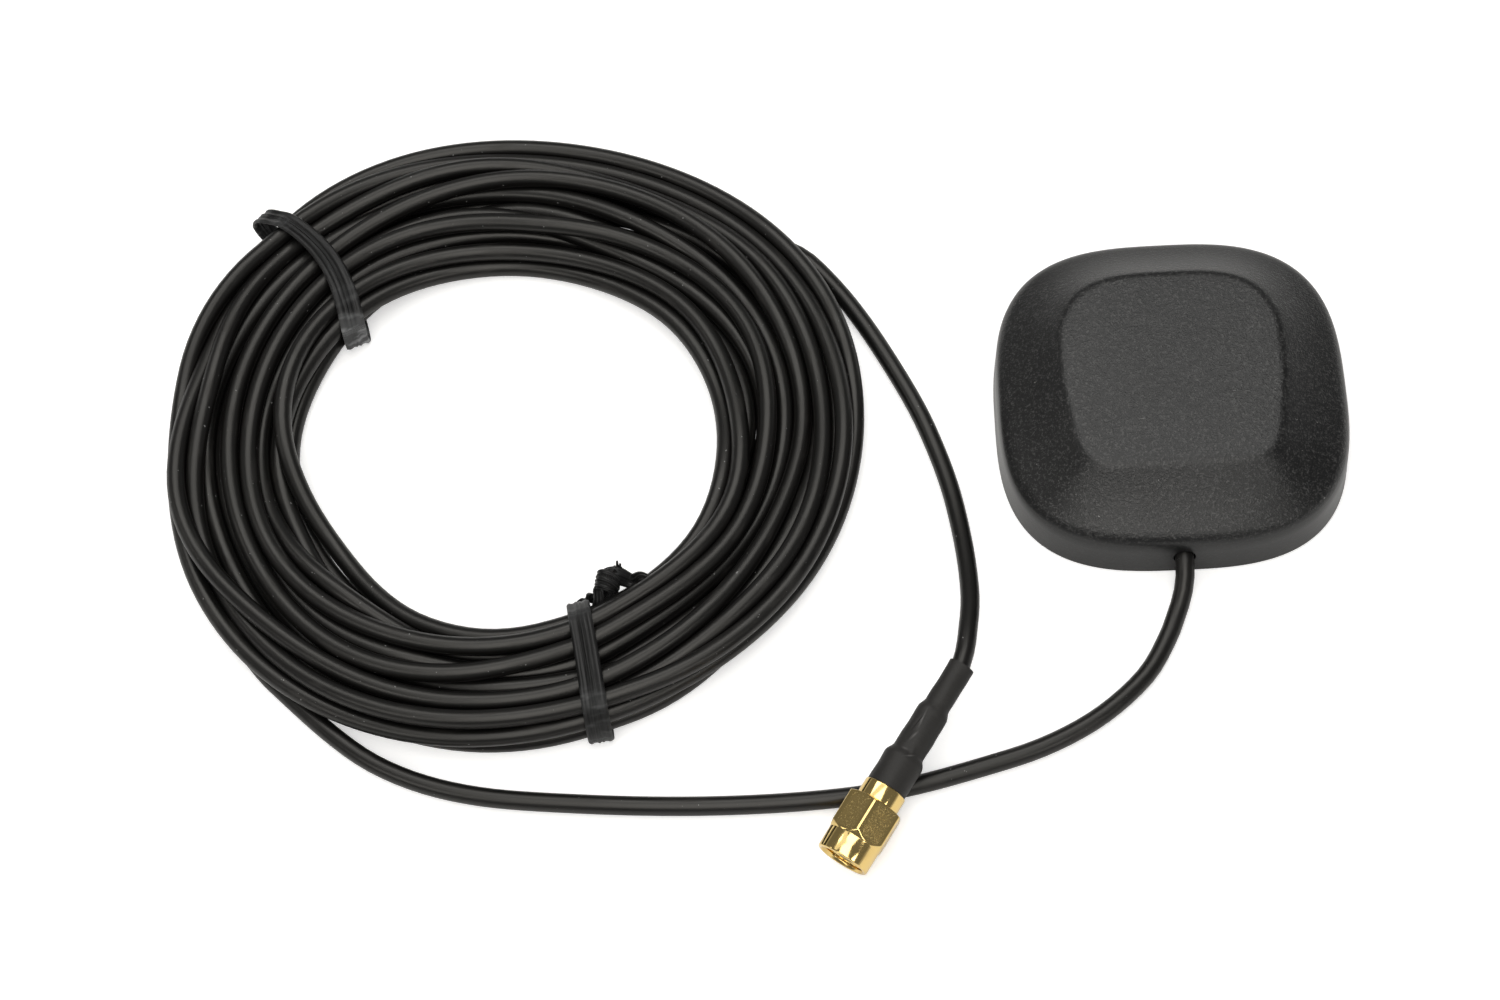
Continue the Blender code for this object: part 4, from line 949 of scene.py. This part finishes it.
def make_knot(way):
    """The two ends of the front tie, twisted up in a knob, with one flat end left over."""
    line = smooth_way(TWIST_WAY, 0.16)
    meshes = []
    for phase in (0.6, 0.6 + math.pi):
        centre, side, normal = twisted_end(line, 1.1, phase, (0.45, 0.80, 0.85, 0.55))
        width = np.interp(np.linspace(0, 1, len(line)), (0, 0.3, 0.7, 1), (2.2, 2.6, 2.2, 1.5))
        meshes.append(ribbon_piece("twist", centre, side, normal, width, 0.15))
    meshes += [wrapped_ribbon(*wrap) for wrap in KNOB_WRAPS]
    # The tail's last points rest on the turns under them
    tail = np.array(TAIL_WAY)
    for point in tail[-3:]:
        point[2] = max(point[2], top_of_turns(way, point[0], point[1]) + TIE_THICKNESS / 2 + 0.1)
    tail = smooth_way(tail, 0.25)
    side, normal = crossed_frames(tail, (0.25, -0.35, 0.9))
    share = np.linspace(0, 1, len(tail))
    width = np.interp(share, (0, 0.3, 0.8, 1), (2.6, 2.7, 1.7, 1.2))
    meshes.append(ribbon_piece("tail", tail, side, normal, width, 0.12 + 0.3 * bell(share, 0.2, 0.1)))
    for lean_x, lean_y, long in BRISTLES:
        start = Vector(SNIPPED_END) + Vector((lean_x, 0, 0)) * 0.9
        tip = start + Vector((lean_x * 0.5, lean_y, 0.35)) * long
        bristle = smooth_way((start, (start + tip) / 2, tip), 0.2)
        side, normal = crossed_frames(bristle, (0.2, -0.4, 0.9))
        width = np.linspace(0.6, 0.3, len(bristle))
        meshes.append(ribbon_piece("bristle", bristle, side, normal, width, 0.0))
    return meshes


# Where each band stands off the turns, as tie_band takes it
FRONT_SLACK = ((1, 2.6, 0.75, 2.6), (-1, 5.4, 0.5, 2.4))
REAR_SLACK = ((1, 4.6, 2.1, 2.8), (-1, 2.4, 1.7, 2.8))


def make_ties(way):
    """The front tie with its knot, and the rear one as a plain band."""
    centre, side, normal, bent, share = tie_band(way, *FRONT_TIE, FRONT_SLACK, 3.0, 0.3)
    width = TIE_WIDTH * (0.96 + 0.05 * share)
    band = ribbon_piece("band", centre, side, normal, width, bent, closed=True)
    front = add_piece("front_twist_tie", joined("front_twist_tie", [band] + make_knot(way)), "tie_plastic")
    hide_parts("front_tie")

    centre, side, normal, bent, share = tie_band(way, *REAR_TIE, REAR_SLACK, 9.0, -3.0)
    width = TIE_WIDTH * (0.97 - 0.08 * share)
    band = ribbon_piece("rear_twist_tie", centre, side, normal, width, bent, closed=True)
    rear = add_piece("rear_twist_tie", band, "tie_plastic")
    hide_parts("rear_tie")
    return [front, rear]


# Cover of the puck

# Where each place of the rim, in degrees, meets the plateau's edge
FAN = ((-90, -90), (-63, -52), (-28, -43), (0, 0), (45, 45), (90, 90),
       (135, 135), (180, 180), (208, 223), (243, 232), (270, 270))
# Angles of the cover's rings, from its front round
COVER_ANGLES = np.linspace(-np.pi / 2, 1.5 * np.pi, COVER_SEGMENTS, endpoint=False)


def squared(angle, squareness):
    """How far a square of half width 1 reaches at an angle. A squareness of 2 makes it a circle."""
    power = np.abs(np.cos(angle)) ** squareness + np.abs(np.sin(angle)) ** squareness
    return 1 / power ** (1 / squareness)


def rim_ring(half, z):
    """A ring of the cover's wall."""
    return hoop(half * squared(COVER_ANGLES, PUCK_SQUARENESS), COVER_ANGLES, z)


def plateau_ring(inset, z):
    """The plateau's edge: full and round at the back, narrower and square at the front."""
    degrees = np.degrees(COVER_ANGLES)
    slack = np.interp(degrees, *np.array(FAN, float).T) - degrees
    reach = COVER_SEGMENTS // 40
    slack = sum(np.roll(slack, shift) for shift in range(-reach, reach + 1)) / (2 * reach + 1)
    angle = np.radians(degrees + slack)
    front = np.clip(0.5 - np.sin(angle) * 0.9, 0, 1)
    radius = squared(angle, 3.3 + 5.2 * front)
    x = (PLATEAU_HALF + PLATEAU_SPREAD[0] - inset) * radius * np.cos(angle)
    y = (PLATEAU_HALF + PLATEAU_SPREAD[1] - inset) * radius * np.sin(angle) + PLATEAU_SHIFT
    near = np.clip(-y / PLATEAU_HALF, 0, None)
    x = x * (1 - PLATEAU_TAPER * near ** 1.2)
    return np.stack((x, y, np.full(COVER_SEGMENTS, z)), 1)


def cover_outside():
    """Rings of the cover's skin, from the foot of its wall to the middle of its plateau."""
    rows = []
    for z in np.linspace(COVER_BOTTOM, RIM_HEIGHT - RIM_ROUND, 6):
        half = PUCK_HALF - PUCK_DRAFT * (z - COVER_BOTTOM) / (RIM_HEIGHT - COVER_BOTTOM)
        rows.append(rim_ring(half, z))
    # The rim rolls over into the flank
    low = rim_ring(TOP_HALF, RIM_HEIGHT - RIM_ROUND)
    foot = rim_ring(TOP_HALF, RIM_HEIGHT)
    edge = plateau_ring(0, COVER_TOP)
    start = RIM_ROUND / FLANK_RUN
    end = 1 - PLATEAU_ROUND / FLANK_RUN
    high = foot * (1 - start) + edge * start
    rows += [curve_over(low, foot, high, t) for t in np.linspace(0, 1, 9)[1:]]
    # The flank is a little hollow
    for t in np.linspace(start, end, 14)[1:]:
        ring = foot * (1 - t) + edge * t
        ring[:, 2] -= FLANK_HOLLOW * np.sin(np.pi * (t - start) / (end - start))
        rows.append(ring)
    # The flank rolls over into the plateau, which is slightly crowned
    last = rows[-1]
    inside = plateau_ring(PLATEAU_ROUND, COVER_TOP)
    rows += [curve_over(last, edge, inside, t) for t in np.linspace(0, 1, 7)[1:]]
    for t in np.linspace(1, 0.02, 12)[1:]:
        ring = inside * (t, t, 1)
        ring[:, 2] += CROWN * (1 - t * t)
        rows.append(ring)
    return rows


def cover_inside():
    """Rings of the cover's inside, from its rebate to its roof, one wall in from the flank."""
    flank = unit(np.array((PLATEAU_HALF - TOP_HALF, COVER_TOP - RIM_HEIGHT)))
    inward = -np.abs(flank[::-1]) * COVER_WALL
    return [
        rim_ring(REBATE_HALF, COVER_BOTTOM),
        rim_ring(REBATE_HALF, LEDGE),
        rim_ring(INNER_HALF, LEDGE),
        rim_ring(INNER_HALF, RIM_HEIGHT + inward[1] + 0.3),
        rim_ring(TOP_HALF + inward[0], RIM_HEIGHT + inward[1] + 0.9),
        plateau_ring(-inward[0] - 0.3, ROOF_UNDERSIDE - 0.3),
        plateau_ring(COVER_WALL, ROOF_UNDERSIDE),
    ]


def make_cover():
    """The cover: a shell with four bosses for its screws and a hole for the lead."""
    mesh = skin("cover", cover_outside()[::-1] + cover_inside())
    corners = [(x, y) for x in (-BOSS_XY, BOSS_XY) for y in (-BOSS_XY, BOSS_XY)]
    mesh = cut(mesh, rods(corners, BOSS_RADIUS, BOSS_BOTTOM, RIM_HEIGHT + COVER_WALL), 'UNION')
    mesh = cut(mesh, rods(corners, PILOT_RADIUS, BOSS_BOTTOM - 1, PILOT_TOP, sides=24))
    turn = Matrix.Translation((0, 0, EXIT_HEIGHT * MM)) @ Matrix.Rotation(math.radians(90), 4, 'X')
    mesh = cut(mesh, rods([(0, 0)], EXIT_RADIUS, INNER_HALF - 1, PUCK_HALF + 1, turn))
    settle(mesh, 40)
    cover = add_piece("puck_cover", mesh, "cover_plastic")
    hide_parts("radome_cover")


# Plug

def plug_frame():
    """The plug's own frame, with Z along its axis from the open end."""
    heading = Matrix.Rotation(math.radians(PLUG_HEADING), 4, 'Z')
    tilt = Matrix.Rotation(math.radians(90 - PLUG_TILT), 4, 'Y')
    return Matrix.Translation(PLUG_PLACE * MM) @ (heading @ tilt)


def threaded_rows(steps):
    """Rings of the nut's inner wall, whose thread climbs once round for each pitch."""
    angle = circle(steps)
    rows = []
    for z in np.linspace(THREAD_START, THREAD_END, 64):
        phase = (z / THREAD_PITCH - angle / (2 * np.pi)) % 1
        tooth = 1 - np.abs(2 * phase - 1)
        # The thread runs out at both ends
        fade = min(1, (THREAD_END - z) / 0.5) * min(1, (z - THREAD_START) / 0.3)
        depth = (THREAD_ROOT - THREAD_CREST) * (tooth * fade + (1 - fade) * 0.3)
        rows.append(hoop(THREAD_ROOT - depth, angle, z))
    return rows


def rounded_least(first, second, width):
    """The lesser of two values, blended over a width where they are nearly equal."""
    near = np.clip(width - np.abs(first - second), 0, None) / width
    return np.minimum(first, second) - near ** 2 * width / 4


def hex_reach(angle):
    """How far the nut's six flats are from its axis, with its corners rounded."""
    turned = angle - math.radians(NUT_TURN)
    off = (turned + np.pi / 6) % (np.pi / 3) - np.pi / 6
    flat = NUT_FLATS / 2 / np.cos(off)
    following = NUT_FLATS / 2 / np.cos(np.pi / 3 - np.abs(off))
    return rounded_least(flat, following, NUT_CORNER_ROUND)


def make_nut(place):
    """The coupling nut: six flats behind a round front end, with a thread inside."""
    angle = circle(NUT_STEPS)
    reach = hex_reach(angle)
    rear = NUT_LENGTH - 0.05
    lengths = np.concatenate((
        np.linspace(NUT_FRONT + 0.02, NUT_FRONT + 1.5, 36),
        np.linspace(NUT_FRONT + 1.9, rear - 0.9, 8),
        np.linspace(rear - 0.6, rear, 14),
    ))
    hexed = []
    for z in lengths[::-1]:
        # Both ends are chamfered, the front one more deeply
        front_cone = NUT_FRONT_RADIUS + (z - NUT_FRONT) * NUT_CONE_RISE / NUT_CHAMFER
        rear_cone = NUT_REAR_RADIUS + (rear - z) * NUT_REAR_SLOPE
        hexed.append(hoop(rounded_least(reach, min(front_cone, rear_cone), NUT_EDGE_BLEND), angle, z))
    back = [(NECK_HOLE, NUT_LENGTH), (3.9, NUT_LENGTH), (3.97, NUT_LENGTH - 0.01)]
    front = [
        (NUT_FRONT_RADIUS, NUT_FRONT - 0.04), (NUT_FRONT_RADIUS, 1.8), (NUT_FRONT_RADIUS, 0.24),
        (NUT_FRONT_RADIUS - 0.03, 0.12), (NUT_FRONT_RADIUS - 0.09, 0.04), (NUT_FRONT_RADIUS - 0.18, 0.0),
        (3.50, 0.0), (3.42, 0.04), (3.37, 0.12),
    ]
    inner = [(NUT_BORE_RADIUS, THREAD_END + 0.05), (NUT_BORE_RADIUS, NUT_BORE_DEPTH),
             (NECK_HOLE, NUT_BORE_DEPTH)]
    rows = turned_rows(back, NUT_STEPS) + hexed + turned_rows(front, NUT_STEPS)
    rows += threaded_rows(NUT_STEPS) + turned_rows(inner, NUT_STEPS)
    mesh = skin("threaded_nut", rows, closed=True)
    settle(mesh, 50)
    nut = add_piece("threaded_nut", mesh, "gold_nut", "nut", place)
    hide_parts("coupling_nut")
    return nut


def make_body(place):
    """The plug's turned body, with its collar and the groove that carries the nut."""
    profile = [
        (0.9, 23.6), (0.9, 16.6), (2.5, 16.6), (2.5, COLLAR_END), (COLLAR_RADIUS, COLLAR_END),
        (COLLAR_RADIUS, COLLAR_START), (2.65, COLLAR_START), (2.65, 7.3), (2.35, 7.3), (2.35, 6.6),
        (2.65, 6.6), (2.65, 5.0), (2.3, 5.0), (2.3, 3.0), (2.05, 3.0), (2.05, 11.7), (0.5, 11.7), (0.5, 23.6),
    ]
    radii = [0.05, 0.1, 0.1, 0.05, 0.14, 0.14] + [0.04] * 12
    rows = turned_rows(rounded(profile, radii), 96)
    body = add_piece("plug_body", skin("plug_body", rows, closed=True), "gold_plate", place=place)
    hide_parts("connector_body")
    return body


def make_pin(place):
    """The centre pin, with its rounded tip towards the open end."""
    profile = [(0.02, 11.3), (0.45, 11.3), (0.45, 1.6), (0.43, 1.4), (0.36, 1.15), (0.24, 0.98),
               (0.1, 0.91), (0.02, 0.9)]
    pin = add_piece("contact_pin", skin("contact_pin", turned_rows(profile, 40)), "gold_plate", place=place)
    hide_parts("centre_pin")
    return pin


# Outside and bore of the sleeve: place along and radius
SLEEVE_OUTSIDE = ((SLEEVE_START, 3.0), (16.9, 3.02), (18.0, 2.42), (24.9, 2.36), (26.0, 1.93),
                  (32.0, 1.9), (SLEEVE_END, 1.96))
SLEEVE_BORE = ((SLEEVE_START, 2.6), (16.7, 2.6), (17.5, 1.95), (24.6, 1.95), (25.4, 1.5), (SLEEVE_END, 1.5))
# Swells and pinches of the sleeve: place along and round, how far out, length and width
SLEEVE_SWELLS = (
    (22.4, 2.98, 0.17, 1.3, 0.07), (22.2, 2.84, -0.06, 1.6, 0.09), (20.3, 3.00, 0.10, 1.0, 0.07),
    (18.1, 3.55, 0.12, 0.45, 0.13), (17.4, 3.45, -0.07, 0.5, 0.12), (25.2, 3.35, -0.12, 0.55, 0.30),
    (17.4, 4.4, 0.09, 0.35, 0.50), (21.5, 5.2, 0.07, 2.2, 0.20), (24.3, 2.5, 0.08, 0.5, 0.35),
    (31.9, 3.3, 0.05, 0.5, 0.6),
)
# Painted highlights along creases of the sleeve, where they would catch the light: place along and round,
# strength, length, width and lean
SLEEVE_CREASE_HIGHLIGHTS = ((22.9, 3.02, 1.0, 1.0, 0.045, -0.05), (20.2, 3.12, 0.6, 0.6, 0.05, 0.10),
                  (17.3, 3.52, 0.7, 0.35, 0.05, 0.5), (17.9, 3.05, 0.5, 0.14, 0.16, 0.0))


def make_sleeve(place):
    """Shrink tube drawn down over the shoulder, the ferrule and the lead, with its creases and painted
    highlights along them.
    """
    steps = 160
    angle = circle(steps)
    along = np.linspace(SLEEVE_START, SLEEVE_END, 150)
    outside = np.interp(along, *zip(*SLEEVE_OUTSIDE))
    for _ in range(3):
        outside[1:-1] = (outside[:-2] + 2 * outside[1:-1] + outside[2:]) / 4
    rows = []
    lightened = []
    for z, radius, bore in zip(along, outside, np.interp(along, *zip(*SLEEVE_BORE))):
        swell = np.zeros(steps)
        for place_z, place_a, size, long, wide in SLEEVE_SWELLS:
            turn = (angle - place_a - (z - place_z) * 0.06 + np.pi) % (2 * np.pi) - np.pi
            swell += size * bell(z, place_z, long) * bell(turn, 0, wide)
        # The tube is never quite round
        swell += 0.025 * np.sin(3 * angle + z * 0.8) + 0.018 * np.sin(2 * angle - z * 1.7 + 1)
        crease_highlight = np.zeros(steps)
        # Painted highlight: the colour is lightened along each crease
        for place_z, place_a, size, long, wide, lean in SLEEVE_CREASE_HIGHLIGHTS:
            crease_highlight += size * bell(z, place_z, long) * bell(angle, place_a + (z - place_z) * lean, wide)
        lightened.append(crease_highlight)
        rows.append(hoop(np.maximum(radius + swell, bore + SLEEVE_LEAST_WALL), angle, z))
    inner = turned_rows([(radius, z) for z, radius in reversed(SLEEVE_BORE)], steps)
    lightened += [np.zeros(steps)] * len(inner)
    mesh = skin("crimp_sleeve", rows + inner, closed=True, bent=lightened)
    sleeve = add_piece("crimp_sleeve", mesh, "shrink_tube", place=place)
    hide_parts("shrink_sleeve")
    return sleeve


# Finishes of the pieces that are carried over from the model
CARRIED = {
    "base_plate": "base_plastic", "foot_pad": "black_rubber", "seal_gasket": "black_rubber",
    "lead_seal": "black_rubber", "magnet": "nickel_magnet", "circuit_board": "green_board",
    "patch_tape": "white_tape", "ceramic_patch": "cream_ceramic", "feed_pin": "gold_plate",
    "shield_can": "tinned_steel", "amplifier_chip": "black_chip", "band_filter": "black_chip",
    "lead_core": "bare_copper", "crimp_ferrule": "gold_plate", "insulator": "white_insulator",
    "sealing_ring": "red_silicone", "snap_ring": "bare_copper",
}


def dress_carried():
    """Give every piece that is carried over its own finish."""
    finishes = dict(CARRIED)
    finishes.update({"cover_screw_%d" % (index + 1): "zinc_steel" for index in range(4)})
    finishes.update({"capacitor_%d" % (index + 1): "cream_ceramic" for index in range(6)})
    for name, finish in finishes.items():
        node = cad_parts[name]
        node.data.materials.clear()
        node.data.materials.append(FINISHES[finish])


# Stage, lamps and camera

def seen_rays(nodes, mirrored):
    """1 for rays that show a background straight or through something clear, and a share if mirrored."""
    glossy, straight, clear = (nodes.node("ShaderNodeLightPath", output=name)
                               for name in ("Is Glossy Ray", "Is Camera Ray", "Is Transmission Ray"))
    return glossy.maths('MAXIMUM', glossy.maths('MAXIMUM', glossy * mirrored, straight), clear)


def make_floor():
    """A sheet of white paper that also glows a little."""
    mesh = bpy.data.meshes.new("studio_floor")
    corners = [(x, y, 0) for x, y in ((-1, -1), (1, -1), (1, 1), (-1, 1))]
    mesh.from_pydata([Vector(corner) * FLOOR_HALF for corner in corners], [], [(0, 1, 2, 3)])
    floor = bpy.data.objects.new("studio_floor", mesh)
    floor.location.z = -0.03 * MM
    bpy.context.scene.collection.objects.link(floor)
    material = bpy.data.materials.new("floor_paper")
    nodes = Nodes(material)
    paper = nodes.node("ShaderNodeBsdfDiffuse", None, {"Color": grey(FLOOR_SHADE)})
    strength = seen_rays(nodes, MIRRORED_GLOW) * FLOOR_GLOW
    glow = nodes.node("ShaderNodeEmission", None, {"Strength": strength})
    nodes.show("ShaderNodeOutputMaterial", nodes.node("ShaderNodeAddShader", None, {0: paper, 1: glow}))
    mesh.materials.append(material)


def make_room():
    """The world: white behind the floor's far edge, and a dim even ceiling above."""
    world = bpy.data.worlds.new("studio")
    bpy.context.scene.world = world
    nodes = Nodes(world)
    height = nodes.part(nodes.node("ShaderNodeTexCoord", output="Generated"), "Z")
    white = seen_rays(nodes, MIRRORED_HORIZON) * (1 - height.rise(HORIZON_LOW, HORIZON_HIGH))
    strength = ROOM_LIGHT + white * (1 - ROOM_LIGHT)
    nodes.show("ShaderNodeOutputWorld", nodes.node("ShaderNodeBackground", None, {"Strength": strength}))


# Lamps: a sheet overhead, softboxes that draw the lines on the lead and the plug, and a side card.
# Each has the places that it reaches across and along at height 1, its radiance and its tint
LAMPS = (
    ("overhead_sheet", (-0.80, 0.50), (0.12, 0.40), 0.95, (1, 1, 1)),
    ("back_softbox", (-0.70, 0.50), (0.40, 0.84), 3.4, (1.0, 0.99, 0.96)),
    ("overhead_softbox", (-0.32, 0.27), (-1.05, 0.12), 3.2, WARM),
    ("left_card", (-2.05, -1.40), (0.20, 0.60), 3.0, (1.0, 0.97, 0.92)),
    ("left_front_box", (-1.40, -0.58), (-1.12, -0.60), 4.2, WARM),
    ("right_front_box", (0.66, 1.22), (-1.62, -0.72), 4.2, WARM),
)


def make_lamps():
    """Soft area lamps that hang level over the plug."""
    for name, across, along, radiance, tint in LAMPS:
        lamp = bpy.data.lights.new(name, 'AREA')
        lamp.shape = 'RECTANGLE'
        lamp.size = (across[1] - across[0]) * LAMP_HEIGHT
        lamp.size_y = (along[1] - along[0]) * LAMP_HEIGHT
        lamp.energy = radiance * math.pi * lamp.size * lamp.size_y
        lamp.color = tint
        thing = bpy.data.objects.new(name, lamp)
        bpy.context.scene.collection.objects.link(thing)
        thing.location = LAMPS_OVER + Vector((sum(across) / 2, sum(along) / 2, 1.0)) * LAMP_HEIGHT


def make_camera():
    """A camera that stands and looks as the photograph's did."""
    data = bpy.data.cameras.new("photo_camera")
    data.lens = CAMERA_LENS
    data.sensor_width = SENSOR_WIDTH
    data.sensor_fit = 'HORIZONTAL'
    data.clip_start = 0.01
    data.clip_end = 50
    camera = bpy.data.objects.new("photo_camera", data)
    bpy.context.scene.collection.objects.link(camera)
    back = CAMERA_RIGHT.cross(CAMERA_UP)
    turn = Matrix((CAMERA_RIGHT, CAMERA_UP, back)).transposed().to_4x4()
    camera.matrix_world = Matrix.Translation(CAMERA_PLACE) @ turn
    bpy.context.scene.camera = camera


def main():
    scene = bpy.context.scene
    scene.view_settings.view_transform = 'Standard'
    place = plug_frame()
    axis = place.to_3x3() @ Vector((0, 0, 1))
    sleeve_end = (place @ Vector((0, 0, SLEEVE_END * MM))) / MM
    lead, way = make_lead(axis, sleeve_end)
    ties = make_ties(way)
    make_cover()
    nut = make_nut(place)
    body = make_body(place)
    pin = make_pin(place)
    sleeve = make_sleeve(place)
    dress_carried()
    (way * MM).tolist()
    make_floor()
    make_room()
    make_lamps()
    make_camera()


main()
